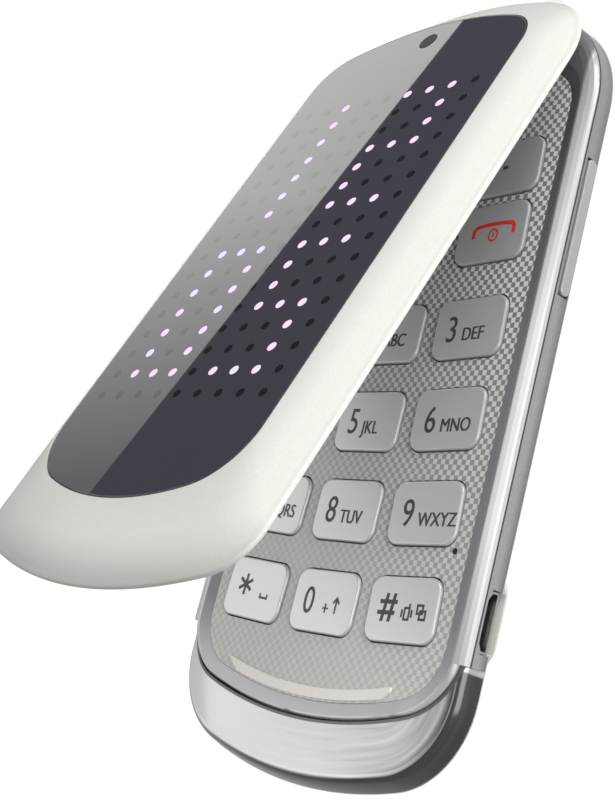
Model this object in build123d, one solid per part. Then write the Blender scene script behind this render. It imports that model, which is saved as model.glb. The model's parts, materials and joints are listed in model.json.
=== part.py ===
"""Clamshell mobile phone, built as the separate pieces that it is assembled from.

The phone lies on its back: Z = 0 is the back of the battery cover and +Z points out of
the keypad. +Y points to the hinge and +X to the user's right. The origin is the middle of
the closed footprint, on the back. The lid stands open by REST_ANGLE in the rest position.
All sizes are in millimetres.
"""
import os
from dataclasses import dataclass
from math import atan, cos, degrees, hypot, pi, sin, sqrt

from build123d import *

# ---------------------------------------------------------------- driving dimensions
LENGTH = 107.4            # chin tip to the back of the hinge barrel
BASE_WIDTH = 51.7         # across the side walls
THICKNESS = 13.6          # closed, over the lid window
REST_ANGLE = 22.0         # how far the lid stands open at rest, degrees

# heights of the base, from the back
BACK_SKIN = 1.1           # wall of the battery cover
SEAM_Z = 6.2              # battery cover meets the side wall
WALL_TOP = 8.75           # side wall meets the bezel
KEYPAD_Z = 9.3            # face of the keypad plate
RIDGE_Z = 9.85            # highest line of the bezel
BACK_TUCK = 2.4           # how far the back draws in under the seam
BACK_ROUND = 4.6          # radius where the sides turn into the back
BAY_ROOF = 5.65           # roof of the battery bay
BOARD_T = 0.8
DOME_T = 0.2
KEY_TRAVEL = 0.3
DOME_GAP = 0.35           # key plunger to dome
MAT_T = 0.35              # web of the key mat
MAT_LIFT = 0.55           # the mat's rim, which stands on the dome sheet
PLATE_T = 0.6
CAP_RISE = 0.45           # key caps stand above the plate
LIP_DROP = 0.6            # how far the bezel's skirt reaches into the wall

# heights and walls of the lid, closed
LID_GAP = 0.25            # closed lid over the bezel's ridge
RIM_WALL = 0.35           # upright part of the rim
LID_SKIN = 1.1
WINDOW_T = 0.8
WINDOW_LEDGE = 1.2
INNER_COVER_T = 0.8
DISPLAY_LENS_T = 0.65
DISPLAY_T = 0.65
LED_BOARD_T = 0.45
LED_T = 0.3
SIDE_FALL, HINGE_FALL, FREE_FALL = 0.86, 0.9, 0.45   # share of straight slope in the border

# outline curves: corner radii and the radii of the arched ends
CHIN_CORNER, HINGE_CORNER = 12.3, 14.4
CHIN_ARC, HINGE_ARC = 64.5, 51.0
LID_CORNER, LID_ARC_LOW, LID_ARC_HIGH = 7.0, 66.0, 46.0
WINDOW_CORNER_LOW, WINDOW_CORNER_HIGH, WINDOW_ARC_LOW, WINDOW_ARC_HIGH = 9.2, 6.6, 41.0, 44.0
PLATE_CORNER_LOW, PLATE_CORNER_HIGH, PLATE_ARC_LOW, PLATE_ARC_HIGH = 7.2, 5.6, 63.5, 60.0
CHIN_LINE_CORNER = 9.0

# borders between the outlines
BARREL_SHOW = 1.6         # barrel stands out behind the walls
CHIN_SHOW = 6.45          # chin reaches past the closed lid
LID_REACH = 0.1           # closed lid over the walls at the hinge end
LID_SIDE = 0.05           # lid over the walls at each side
BORDER_SIDE, BORDER_FREE, BORDER_HINGE = 6.27, 9.9, 6.15   # lid border round the window
PLATE_SIDE, PLATE_CHIN, PLATE_HINGE = 3.8, 10.25, 8.4      # walls to the keypad plate
CHIN_LINE_SIDE, CHIN_LINE_END = 1.25, 8.2                  # walls to the chin's upper line
CHIN_ARM = 17.7           # length of the chin along the sides
SHOULDER = 1.85           # width of the bezel's falling edge
CHIN_BEVEL, CHIN_DROP = 1.7, 0.75    # rounded outer edge of the chin
END_CAP_L = 19.1          # fixed cap at the hinge end

# hinge
KNUCKLE_R = 3.45
HINGE_Z = 6.45
BASE_KNUCKLE_HALF = 8.8
LID_KNUCKLE_OUT = 14.2
KNUCKLE_GAP = 0.25
BARREL_BORE_R = 2.0
PIVOT_BORE_R = 1.5
PIVOT_DEPTH = 4.4
ARM_OUT, ARM_BACK, ARM_FRONT = 13.6, 1.5, 0.35

# keys
PLATE_MARGIN, COLUMN_GAP, ROW_PITCH = 2.4, 2.4, 12.12
KEY_H, KEY_CORNER, KEY_EDGE = 8.1, 1.8, 0.3
FIRST_ROW_Y, CALL_ROW_Y, SOFT_ROW_Y = 5.32, 18.32, 27.4
SOFT_KEY_H = 7.6
SMILE = 0.00185           # rows curve towards the hinge by SMILE * x * x
NAV_Y, NAV_SIDE, NAV_H, NAV_HOLE, NAV_CORNER = 23.0, 1.05, 14.8, 7.2, 4.6
SELECT_SIZE = 6.6
PLUNGER_R = 1.3
NAV_PLUNGER_R, NAV_PLUNGER_AT = 0.9, 5.8
ROCKER_R = 4.7

# side features
VOLUME_Y, VOLUME_LEN, VOLUME_H, VOLUME_PROUD = 19.15, 18.1, 1.6, 0.35
VOLUME_Z = 7.3
USB_Y, USB_W, USB_H, USB_DEPTH = -30.45, 7.3, 1.9, 5.0
BULGE_LEN, BULGE_PROUD, BULGE_H = 11.6, 0.4, 2.3
JACK_IN, JACK_Z, JACK_BORE_R, JACK_OUTER_R, JACK_DEPTH = 14.5, 5.8, 1.75, 2.3, 12.5
MIC_SIDE, MIC_Y, MIC_R = 2.1, -22.9, 0.9

# inside
CAVITY_WALL = 2.6
BATTERY_W, BATTERY_L, BATTERY_T, BAY_WALL = 34.6, 51.6, 4.2, 3.8
SCREW_SIDE, SCREW_Y = 3.85, (30.6, -19.5)
SCREW_R, SCREW_HEAD_R, POST_R = 0.7, 1.2, 1.5
HEAD_Z0, HEAD_Z1, POST_Z = 3.4, 4.05, 5.0
LID_SCREW_SIDE, LID_SCREW_HINGE, LID_SCREW_FREE, LID_SCREW_DEEP = 4.5, 15.7, 4.7, 2.1
LED_ROWS, LED_COLUMNS = 16, 9
LED_PITCH_X, LED_PITCH_Y, LED_FIRST_Y = 3.951, 3.482, 30.47
CAMERA_X, CAMERA_IN = 0.1, 3.6
DISPLAY_W, DISPLAY_L, DISPLAY_SHIFT = 37.5, 50.0, -2.0
LENS_SIDE, LENS_FREE, LENS_HINGE = 3.9, 10.3, 19.3
EARPIECE_IN, EARPIECE_T = 7.6, 0.6
BUMPER_X, BUMPER_IN, BUMPER_SIDE, BUMPER_Y, BUMPER_R = 17.2, 4.7, 2.3, 30.0, 1.2
SIM_X0, SIM_IN, SIM_W, SIM_L, SIM_Z, SIM_T = -17.5, 7.7, 16.5, 14.4, 3.6, 2.0
MOTOR_X, MOTOR_L, MOTOR_SHAFT_L, MOTOR_R, SHAFT_R = 3.0, 7.5, 4.5, 2.0, 0.4
MOTOR_IN, MOTOR_Z = 17.7, 3.75
SPEAKER_X, SPEAKER_IN, SPEAKER_W, SPEAKER_L = 6.0, 9.6, 13.0, 8.0
SPEAKER_LIFT, SPEAKER_T = 0.35, 2.55
ANTENNA_IN, ANTENNA_WIDE, ANTENNA_DEEP, ANTENNA_Z = 5.2, 16.0, 1.9, 2.4

# clearances
FIT = 0.05                # pieces seated in one another
SLACK = 0.15              # pieces dropped into a pocket
KEY_GAP = 0.2             # key cap to plate
TURN_GAP = 0.25           # knuckle to its slot
PIVOT_GAP = 0.05          # pivot to its bore
COVER_GAP = 0.3           # sliding cover to the housing inside it

HALF = BASE_WIDTH / 2
HINGE_Y = LENGTH / 2 - KNUCKLE_R
CHIN_TIP = -LENGTH / 2
BASE_END = LENGTH / 2 - BARREL_SHOW
CHIN_ARM_Y = CHIN_TIP + CHIN_ARM
SIM_END_Y = CHIN_TIP + SIM_IN + SIM_L
BATTERY_Y = SIM_END_Y + BAY_WALL + BATTERY_L / 2
MOTOR_Y = CHIN_TIP + MOTOR_IN
END_CAP_Y = BASE_END - END_CAP_L
LIP_Z = WALL_TOP - LIP_DROP
RIM_Z = RIDGE_Z + LID_GAP
PLATE_WIDTH = BASE_WIDTH - 2 * PLATE_SIDE
KEY_W = (PLATE_WIDTH - 2 * COLUMN_GAP - 2 * PLATE_MARGIN) / 3
COLUMN_PITCH = KEY_W + COLUMN_GAP
NAV_W = 2 * (COLUMN_PITCH - KEY_W / 2 - NAV_SIDE)
MAT_END = SOFT_ROW_Y + SOFT_KEY_H / 2 + 2.0
USB_Z = SEAM_Z + 0.1 + USB_H / 2
JACK_Y = BASE_END - JACK_IN
MIC_X = PLATE_WIDTH / 2 - MIC_SIDE
SCREW_X = HALF - SCREW_SIDE
BOARD_Z = SEAM_Z
DOME_Z = BOARD_Z + BOARD_T
MAT_Z = DOME_Z + DOME_T + MAT_LIFT
PLUNGER_Z = DOME_Z + DOME_T + DOME_GAP
PLATE_Z = KEYPAD_Z - PLATE_T
CAP_Z = MAT_Z + MAT_T + KEY_TRAVEL + FIT
CAP_TOP = KEYPAD_Z + CAP_RISE
WINDOW_Z = THICKNESS - WINDOW_T
LENS_Z = RIM_Z + FIT
LID_SCREW_TOP = THICKNESS - LID_SCREW_DEEP
COVER_TOP_Z = LENS_Z + INNER_COVER_T
DISPLAY_Z = LENS_Z + DISPLAY_LENS_T + FIT
LED_BOARD_Z = DISPLAY_Z + DISPLAY_T + FIT
SPEAKER_Z0 = BACK_SKIN + SPEAKER_LIFT
SPEAKER_Z1 = SPEAKER_Z0 + SPEAKER_T
SPEAKER_Y = BASE_END - SPEAKER_IN
MOTOR_X1 = MOTOR_X + MOTOR_L
MOTOR_X2 = MOTOR_X1 + MOTOR_SHAFT_L


# ---------------------------------------------------------------- outlines and solids
@dataclass(frozen=True)
class Plan:
    """Outline with straight sides, arched ends and round corners, symmetric about X = 0."""
    half: float
    low: float
    high: float
    corner_low: float
    corner_high: float
    arc_low: float
    arc_high: float

    def inset(self, d):
        return Plan(self.half - d, self.low + d, self.high - d, self.corner_low - d,
                    self.corner_high - d, self.arc_low - d, self.arc_high - d)

    def end(self, y_end, corner, arc, side):
        """Where one end leaves the straight side, the corner's middle, and the end arc."""
        centre_x = self.half - corner
        arc_y = y_end - side * arc
        centre_y = arc_y + side * sqrt((arc - corner) ** 2 - centre_x ** 2)
        reach = arc / (arc - corner)
        tangent = (centre_x * reach, arc_y + (centre_y - arc_y) * reach)
        lean = hypot(tangent[0] - centre_x + corner, tangent[1] - centre_y)
        middle = (centre_x + corner * (tangent[0] - centre_x + corner) / lean,
                  centre_y + corner * (tangent[1] - centre_y) / lean)
        return (self.half, centre_y), middle, tangent

    def face(self, z=0.0):
        def mirror(p):
            return (-p[0], p[1])
        side_h, mid_h, tan_h = self.end(self.high, self.corner_high, self.arc_high, 1)
        side_l, mid_l, tan_l = self.end(self.low, self.corner_low, self.arc_low, -1)
        edges = [
            Line(side_l, side_h),
            ThreePointArc(side_h, mid_h, tan_h),
            ThreePointArc(tan_h, (0, self.high), mirror(tan_h)),
            ThreePointArc(mirror(tan_h), mirror(mid_h), mirror(side_h)),
            Line(mirror(side_h), mirror(side_l)),
            ThreePointArc(mirror(side_l), mirror(mid_l), mirror(tan_l)),
            ThreePointArc(mirror(tan_l), (0, self.low), tan_l),
            ThreePointArc(tan_l, mid_l, side_l),
        ]
        return Pos(0, 0, z) * make_face(edges)


BASE = Plan(HALF, CHIN_TIP, BASE_END, CHIN_CORNER, HINGE_CORNER, CHIN_ARC, HINGE_ARC)
CHIN_LINE = Plan(HALF - CHIN_LINE_SIDE, CHIN_TIP + CHIN_LINE_END, BASE_END - 2, CHIN_LINE_CORNER,
                 HINGE_CORNER - CHIN_LINE_SIDE, CHIN_ARC, HINGE_ARC)
KEYPAD = Plan(PLATE_WIDTH / 2, CHIN_TIP + PLATE_CHIN, BASE_END - PLATE_HINGE, PLATE_CORNER_LOW,
              PLATE_CORNER_HIGH, PLATE_ARC_LOW, PLATE_ARC_HIGH)
LID = Plan(HALF + LID_SIDE, CHIN_TIP + CHIN_SHOW, BASE_END + LID_REACH, LID_CORNER, HINGE_CORNER,
           LID_ARC_LOW, LID_ARC_HIGH)
WINDOW = Plan(LID.half - BORDER_SIDE, LID.low + BORDER_FREE, LID.high - BORDER_HINGE,
              WINDOW_CORNER_LOW, WINDOW_CORNER_HIGH, WINDOW_ARC_LOW, WINDOW_ARC_HIGH)
CAVITY = BASE.inset(CAVITY_WALL)


def prism(plan, z0, z1):
    return extrude(plan.face(z0), amount=z1 - z0)


def block(x0, x1, y0, y1, z0, z1):
    return Pos((x0 + x1) / 2, (y0 + y1) / 2, (z0 + z1) / 2) * Box(x1 - x0, y1 - y0, z1 - z0)


def post(x, y, r, z0, z1):
    return Pos(x, y, (z0 + z1) / 2) * Cylinder(r, z1 - z0)


def rod(x0, x1, y, z, r):
    """Cylinder along X."""
    return Pos((x0 + x1) / 2, y, z) * Rot(0, 90, 0) * Cylinder(r, x1 - x0)


def pad(w, h, corner, z0, z1, x=0.0, y=0.0, turn=0.0):
    outline = Pos(x, y, z0) * Rot(0, 0, turn) * RectangleRounded(w, h, corner)
    return extrude(outline, amount=z1 - z0)


def both_sides(shape):
    return shape + mirror(shape, about=Plane.YZ)


def only(shape, x0=-60, x1=60, y0=-70, y1=70, z0=-5, z1=30):
    return shape & block(x0, x1, y0, y1, z0, z1)


def round_top(shape, radius):
    return fillet(shape.faces().sort_by(Axis.Z)[-1].outer_wire().edges(), radius)


def round_bottom(shape, radius):
    return fillet(shape.faces().sort_by(Axis.Z)[0].outer_wire().edges(), radius)


def opened(shape):
    """Turn a piece of the closed lid about the hinge to where it rests."""
    axis = Axis((0, HINGE_Y, HINGE_Z), (-1, 0, 0))
    return shape.rotate(axis, REST_ANGLE)


def barrel(half_from, half_to, radius):
    """The hinge barrel's stretches between two distances from the middle."""
    right = rod(half_from, half_to, HINGE_Y, HINGE_Z, radius)
    return both_sides(right)


# ---------------------------------------------------------------- key places
def key_place(column, y):
    x = column * COLUMN_PITCH
    return x, y + SMILE * x * x, degrees(atan(2 * SMILE * x))


def key_table():
    """Every plain key: name, column, row's y and height."""
    names = ("1", "2", "3", "4", "5", "6", "7", "8", "9", "star", "0", "hash")
    keys = {}
    for i, name in enumerate(names):
        keys["key_" + name] = (i % 3 - 1, FIRST_ROW_Y - ROW_PITCH * (i // 3), KEY_H)
    keys["send_key"] = (-1, CALL_ROW_Y, KEY_H)
    keys["end_key"] = (1, CALL_ROW_Y, KEY_H)
    keys["soft_key_left"] = (-1, SOFT_ROW_Y, SOFT_KEY_H)
    keys["soft_key_right"] = (1, SOFT_ROW_Y, SOFT_KEY_H)
    return keys


KEYS = key_table()


def key(column, row_y, height):
    x, y, turn = key_place(column, row_y)
    cap = pad(KEY_W, height, KEY_CORNER, CAP_Z, CAP_TOP, x, y, turn)
    cap = round_top(cap, KEY_EDGE)
    return cap + post(x, y, PLUNGER_R, PLUNGER_Z, CAP_Z)


def key_openings(z0, z1):
    cuts = []
    for column, row_y, height in KEYS.values():
        x, y, turn = key_place(column, row_y)
        cuts.append(pad(KEY_W + 2 * KEY_GAP, height + 2 * KEY_GAP, KEY_CORNER + KEY_GAP,
                        z0, z1, x, y, turn))
    cuts.append(pad(NAV_W + 2 * KEY_GAP, NAV_H + 2 * KEY_GAP, NAV_CORNER + KEY_GAP, z0, z1, 0,
                    NAV_Y))
    return cuts


# ---------------------------------------------------------------- base: outer pieces
def back_form(plan, z_top, skin):
    """The rounded back, grown from its seam outline, at a depth of skin inside it."""
    top = plan.inset(skin)
    bottom = plan.inset(BACK_TUCK + skin * 0.7)
    form = loft([top.face(z_top), bottom.face(skin)], ruled=True)
    return round_bottom(form, BACK_ROUND - skin)


COVER = BASE.inset(-0.1)


def usb_bulge():
    """The swelling of the cover that carries the lower lip of the USB opening."""
    reach = COVER.half + BULGE_PROUD
    lump = block(HALF - 10, reach, USB_Y - BULGE_LEN / 2, USB_Y + BULGE_LEN / 2,
                 SEAM_Z - BULGE_H, SEAM_Z)
    lump = fillet(lump.faces().sort_by(Axis.X)[-1].edges().filter_by(Axis.Z), 2.6)
    return chamfer(lump.faces().sort_by(Axis.Z)[0].edges().sort_by(Axis.X)[-3:], 1.1)


def back_shell():
    shell = back_form(COVER, SEAM_Z, 0.0) + usb_bulge()
    shell -= back_form(COVER, SEAM_Z + 0.02, BACK_SKIN)
    return shell


def make_battery_cover():
    cover = only(back_shell(), y1=END_CAP_Y - FIT)
    cover -= block(HALF - CAVITY_WALL, HALF + 5, USB_Y - USB_W / 2, USB_Y + USB_W / 2,
                   SEAM_Z - 0.4, SEAM_Z + 1)
    rail = block(-8.0, 8.0, END_CAP_Y - 2.2, END_CAP_Y - FIT, BACK_SKIN - FIT, BACK_SKIN + 0.15)
    return cover + rail


def make_rear_end_cap():
    cap = only(back_shell(), y0=END_CAP_Y)
    swing = hypot(LID.high - HINGE_Y, RIM_Z - HINGE_Z)      # the open lid's edge passes here
    cap -= barrel(0, LID_KNUCKLE_OUT + TURN_GAP, swing + TURN_GAP)
    cap -= rod(-HALF - 4, -HALF + 6, JACK_Y, JACK_Z, JACK_OUTER_R + FIT)
    for i in range(5):
        cap -= pad(7.0, 0.8, 0.39, -1, BACK_SKIN + 1, SPEAKER_X, SPEAKER_Y + 1.6 * (i - 2))
    return cap


def make_rear_housing():
    wall = only(prism(BASE, SEAM_Z, WALL_TOP - FIT), y0=CHIN_ARM_Y)
    core = prism(CHIN_LINE.inset(0.3), SEAM_Z - 1, LIP_Z)
    inner = back_form(COVER, SEAM_Z + FIT, BACK_SKIN + COVER_GAP)
    body = wall + core + inner
    # the board's tray, and the lip that the bezel drops into
    body -= prism(CAVITY, BOARD_Z, 20)
    body -= only(prism(CHIN_LINE.inset(1.2), BOARD_Z, 20), y1=CHIN_ARM_Y + 6)
    body -= prism(BASE.inset(1.2), LIP_Z, 20)
    # rear pockets: battery, SIM, motor, antenna and loudspeaker
    bay_w, bay_l = BATTERY_W / 2 + SLACK, BATTERY_L / 2 + SLACK
    body -= block(-bay_w, bay_w, BATTERY_Y - bay_l, BATTERY_Y + bay_l, 0, BAY_ROOF)
    body -= sim_block(SLACK, 0, SIM_Z + SIM_T + FIT)
    body -= block(MOTOR_X - 0.3, MOTOR_X2 + 0.3, MOTOR_Y - MOTOR_R - 0.5,
                  MOTOR_Y + MOTOR_R + 0.5, 0, MOTOR_Z + MOTOR_R + 0.1)
    body -= antenna_form(SLACK)
    body -= pad(SPEAKER_W + 2 * SLACK, SPEAKER_L + 2 * SLACK, 1.5, 0, SPEAKER_Z1 + FIT,
                SPEAKER_X, SPEAKER_Y)
    body -= block(-5.2, 5.2, BATTERY_Y + bay_l - 1, BATTERY_Y + bay_l + 1.8, 1.9, 4.9)
    # hinge end: slots for the lid's knuckles, seat for the middle one
    body -= barrel(0, LID_KNUCKLE_OUT + TURN_GAP, KNUCKLE_R + TURN_GAP)
    # side openings
    body -= block(HALF - 2.85, HALF + 1, VOLUME_Y - VOLUME_LEN / 2 - SLACK,
                  VOLUME_Y + VOLUME_LEN / 2 + SLACK, VOLUME_Z - VOLUME_H / 2 - SLACK,
                  VOLUME_Z + VOLUME_H / 2 + SLACK)
    body -= usb_solid(SLACK, HALF + 4)
    body -= rod(-HALF - 10, -HALF + JACK_DEPTH + 2.3, JACK_Y, JACK_Z, JACK_OUTER_R + FIT)
    for x in (-SCREW_X, SCREW_X):
        for y in SCREW_Y:
            body -= post(x, y, POST_R + FIT, POST_Z - FIT, 20)
            body -= post(x, y, SCREW_R + 0.1, 0, 6)
            body -= post(x, y, SCREW_HEAD_R + 0.1, 0, HEAD_Z1 + FIT)
    return body


def shoulder_form():
    """The bezel's outer edge: from the ridge it falls outward and turns into the wall."""
    rise = RIDGE_Z - WALL_TOP
    steps = ((0.0, 0.0), (0.06, 0.25), (0.28, 0.58), (0.6, 0.84), (1.0, 1.0))
    faces = [BASE.inset(SHOULDER * out).face(WALL_TOP + rise * up) for out, up in steps]
    return loft(faces, ruled=True)


def make_front_bezel():
    main = only(shoulder_form(), y0=CHIN_ARM_Y)
    tongue = only(round_top(prism(CHIN_LINE, WALL_TOP, RIDGE_Z), 0.6), y1=CHIN_ARM_Y + 1)
    skirt = prism(BASE.inset(1.2 + FIT), LIP_Z + FIT, WALL_TOP + FIT)
    skirt &= prism(CHIN_LINE.inset(0.4), 8, 9)
    body = main + tongue + skirt
    for y in SCREW_Y:
        body += both_sides(post(SCREW_X, y, POST_R, POST_Z, WALL_TOP + FIT))
    # funnel down to the keypad plate, and the ledge that carries it
    funnel = loft([KEYPAD.face(KEYPAD_Z), KEYPAD.inset(-1.75).face(RIDGE_Z + 0.02)], ruled=True)
    body -= funnel
    body -= prism(KEYPAD, PLATE_Z, KEYPAD_Z + FIT)
    body -= prism(KEYPAD.inset(1.0), 7.5, 20)
    # hinge: slots for the lid's knuckles, and the middle knuckle
    slot = barrel(BASE_KNUCKLE_HALF, LID_KNUCKLE_OUT + TURN_GAP, KNUCKLE_R + TURN_GAP)
    slot += both_sides(block(BASE_KNUCKLE_HALF, LID_KNUCKLE_OUT + TURN_GAP,
                             HINGE_Y - 1.7, HINGE_Y + 8, HINGE_Z, 20))
    body -= slot
    body += barrel(0, BASE_KNUCKLE_HALF, KNUCKLE_R)
    body -= barrel(0, BASE_KNUCKLE_HALF + 1, BARREL_BORE_R)
    for y in SCREW_Y:
        body -= both_sides(post(SCREW_X, y, SCREW_R + FIT, 4, WALL_TOP - 0.75))
    return body


def make_keypad_plate():
    plate = prism(KEYPAD.inset(FIT), PLATE_Z, KEYPAD_Z)
    for cut in key_openings(PLATE_Z - 1, KEYPAD_Z + 1):
        plate -= cut
    return plate - post(MIC_X, MIC_Y, 0.4, PLATE_Z - 1, KEYPAD_Z + 1)


def make_plate_strip():
    """Slim ledge that follows the plate's lower arc, its ends cut on a slant."""
    band = prism(KEYPAD.inset(0.35), KEYPAD_Z, KEYPAD_Z + 0.35)
    band -= prism(KEYPAD.inset(1.65), 0, 20)
    band = only(band, x0=-15.4, x1=15.0, y1=KEYPAD.low + 8)
    for x, y, turn in ((-15.4, KEYPAD.low + 2.4, 52), (15.2, KEYPAD.low + 2.1, -50)):
        band -= Pos(x, y, KEYPAD_Z) * Rot(0, 0, turn) * Box(1.5, 6, 4)
    return band


def chin_form():
    """Rounded chin: a gently falling top, a soft edge and sides that lean out to the seam."""
    top = RIDGE_Z - 0.1
    edge = top - CHIN_DROP
    levels = ((CHIN_LINE_END + 1.0, top), (CHIN_BEVEL + 3.0, top - 0.25), (CHIN_BEVEL, edge),
              (CHIN_BEVEL * 0.55, edge - 0.5), (CHIN_BEVEL * 0.2, edge - 1.3), (0.0, SEAM_Z + FIT))
    faces = [BASE.inset(min(d, CHIN_CORNER - 1)).face(z) for d, z in reversed(levels)]
    return only(loft(faces, ruled=True), y1=CHIN_ARM_Y)


def make_chin_trim():
    """Bright line along the bezel, ending in an upright edge on each side wall."""
    line = prism(CHIN_LINE.inset(-0.45), WALL_TOP - 0.6, RIDGE_Z) & chin_form()
    line = only(line, y1=CHIN_ARM_Y - FIT)
    ends = only(chin_form(), y0=CHIN_ARM_Y - 0.9, y1=CHIN_ARM_Y - FIT)
    return line + ends - prism(CHIN_LINE.inset(-FIT), 0, 20)


def chin_lens_form():
    return only(chin_form(), y1=CHIN_ARM_Y - 0.95) - prism(CHIN_LINE.inset(-0.5), 0, 20)


def make_chin_lens():
    hollow = only(chin_hollow(0.0), y1=CHIN_ARM_Y - 3)
    return chin_lens_form() - hollow


def chin_hollow(grow):
    """Room for the insert, a constant skin under the chin's surface."""
    skin = 1.3 + grow
    top = RIDGE_Z - 0.1 - CHIN_DROP - skin * 0.75
    return loft([BASE.inset(skin).face(SEAM_Z - 1), BASE.inset(skin).face(SEAM_Z + 0.6),
                 BASE.inset(skin + CHIN_BEVEL * 0.8).face(top)], ruled=True)


def make_chin_reflector():
    """Stepped bright insert: grooves run round the chin, one inside the other."""
    insert = only(chin_hollow(FIT), z0=SEAM_Z + FIT, y1=CHIN_ARM_Y - 3.1)
    insert -= prism(CHIN_LINE.inset(-0.5), 0, 20)
    for step in (3.5, 4.7, 5.9):
        groove = prism(BASE.inset(step), WALL_TOP - 1.0, 9.5)
        groove -= prism(BASE.inset(step + 0.4), 8 - 1, 10)
        insert -= groove
    return insert


# ---------------------------------------------------------------- base: inner pieces
def sim_block(grow, z0, z1):
    return block(SIM_X0 - grow, SIM_X0 + SIM_W + grow, SIM_END_Y - SIM_L - grow,
                 SIM_END_Y + grow, z0, z1)


def antenna_form(grow):
    band = prism(BASE.inset(ANTENNA_IN - grow), ANTENNA_Z - grow, SEAM_Z - 0.2)
    return only(band, y1=CHIN_TIP + ANTENNA_IN + ANTENNA_DEEP + grow, x0=-ANTENNA_WIDE - grow,
                x1=ANTENNA_WIDE + grow)


def usb_solid(grow, reach):
    """The receptacle's outline with its chamfered lower corners, drawn inwards from the wall."""
    x_in = HALF - 0.3 - USB_DEPTH
    half, tall = USB_W / 2 + grow, USB_H / 2 + grow
    cut = 0.55
    points = [(USB_Y - half, USB_Z - tall), (USB_Y + half, USB_Z - tall),
              (USB_Y + half, USB_Z + tall - cut), (USB_Y + half - cut * 1.6, USB_Z + tall),
              (USB_Y - half + cut * 1.6, USB_Z + tall), (USB_Y - half, USB_Z + tall - cut)]
    outline = Plane.YZ.offset(x_in - grow) * make_face(Polyline(*points, close=True))
    return extrude(outline, amount=reach - x_in)


def make_usb_socket():
    shell = usb_solid(0.0, HALF - 0.3)
    x_in = HALF - 0.3 - USB_DEPTH
    hollow = usb_solid(-0.25, HALF + 3)
    shell -= only(hollow, x0=x_in + 0.5)
    tongue = block(x_in + 0.4, HALF - 1.3, USB_Y - 2.6, USB_Y + 2.6, USB_Z - 0.05, USB_Z + 0.4)
    return shell + tongue


def make_headset_jack():
    x_out = -HALF + 1.0
    body = rod(x_out, x_out + JACK_DEPTH + 1, JACK_Y, JACK_Z, JACK_OUTER_R)
    return body - rod(x_out - 1, x_out + JACK_DEPTH, JACK_Y, JACK_Z, JACK_BORE_R)


def make_main_board():
    board = prism(CAVITY.inset(SLACK), BOARD_Z, BOARD_Z + BOARD_T)
    board = only(board, y1=HINGE_Y - KNUCKLE_R - TURN_GAP - 0.35)
    board &= prism(CHIN_LINE.inset(1.2 + SLACK), 0, 20)
    for y in SCREW_Y:
        board -= both_sides(post(SCREW_X, y, POST_R + 0.2, 0, 20))
    board -= usb_solid(0.3, 40.0)
    side = JACK_OUTER_R + 0.5
    board -= block(-HALF, -HALF + JACK_DEPTH + 2.6, JACK_Y - side, JACK_Y + side, 0, 20)
    return board


def make_dome_sheet():
    """Sheet of snap domes, one under each key."""
    sheet = only(prism(KEYPAD.inset(1.75), DOME_Z, DOME_Z + DOME_T), y1=MAT_END + 0.2)
    return sheet - post(MIC_X, MIC_Y, MIC_R + 0.3, 0, 20)


def make_keymat():
    """Thin web with a hole round each plunger, on a rim that stands on the dome sheet."""
    outline = KEYPAD.inset(1.85)
    web = only(prism(outline, MAT_Z, MAT_Z + MAT_T), y1=MAT_END)
    rim = only(prism(outline, DOME_Z + DOME_T, MAT_Z), y1=MAT_END)
    rim -= only(prism(outline.inset(0.7), 0, 20), y1=MAT_END - 0.7)
    mat = web + rim
    for column, row_y, _ in KEYS.values():
        x, y, _ = key_place(column, row_y)
        mat -= post(x, y, PLUNGER_R + 0.3, 0, 20)
    mat -= post(0, NAV_Y, 7.6, 0, 20)
    return mat - post(MIC_X, MIC_Y, MIC_R + 0.3, 0, 20)


def make_board_shields():
    tall = PLATE_Z - 0.3
    y0, y1 = MAT_END + 1.2, KEYPAD.high - 2.7
    left = block(-9.4, -0.8, y0, y1, DOME_Z, tall)
    right = block(0.8, 15.0, y0, y1, DOME_Z, tall)
    return [round_top(can, 0.3) for can in (left, right)]


def make_battery():
    z0 = BAY_ROOF - FIT - BATTERY_T
    cell = block(-BATTERY_W / 2, BATTERY_W / 2, BATTERY_Y - BATTERY_L / 2,
                 BATTERY_Y + BATTERY_L / 2, z0, z0 + BATTERY_T)
    return fillet(cell.edges().filter_by(Axis.Y) + cell.edges().filter_by(Axis.Z), 0.9)


def make_battery_contacts():
    y = BATTERY_Y + BATTERY_L / 2 + SLACK
    leaf = block(-0.6, 0.6, y - 0.1, y + 1.6, 2.1, 4.7)
    return [Pos(3.4 * i, 0, 0) * leaf for i in (-1, 0, 1)]


def make_sim_holder():
    shell = sim_block(0.0, SIM_Z, SIM_Z + SIM_T)
    inside = sim_block(-0.8, SIM_Z + 0.4, SIM_Z + SIM_T - 0.4)
    return shell - inside - Pos(0, 3, 0) * inside


def make_microphone():
    return post(MIC_X, MIC_Y, MIC_R, DOME_Z, PLATE_Z - 0.25)


def make_loudspeaker():
    body = pad(SPEAKER_W, SPEAKER_L, 1.4, SPEAKER_Z0 + 0.5, SPEAKER_Z1, SPEAKER_X, SPEAKER_Y)
    ring = pad(SPEAKER_W - 2, SPEAKER_L - 2, 1.2, SPEAKER_Z0 - 0.2, SPEAKER_Z0 + 0.5,
               SPEAKER_X, SPEAKER_Y)
    ring -= pad(SPEAKER_W - 4, SPEAKER_L - 4, 1.0, 0, 5, SPEAKER_X, SPEAKER_Y)
    return body + ring


def make_vibration_motor():
    can = rod(MOTOR_X, MOTOR_X1, MOTOR_Y, MOTOR_Z, MOTOR_R)
    return can + rod(MOTOR_X1, MOTOR_X2 - 0.2, MOTOR_Y, MOTOR_Z, SHAFT_R)


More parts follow.
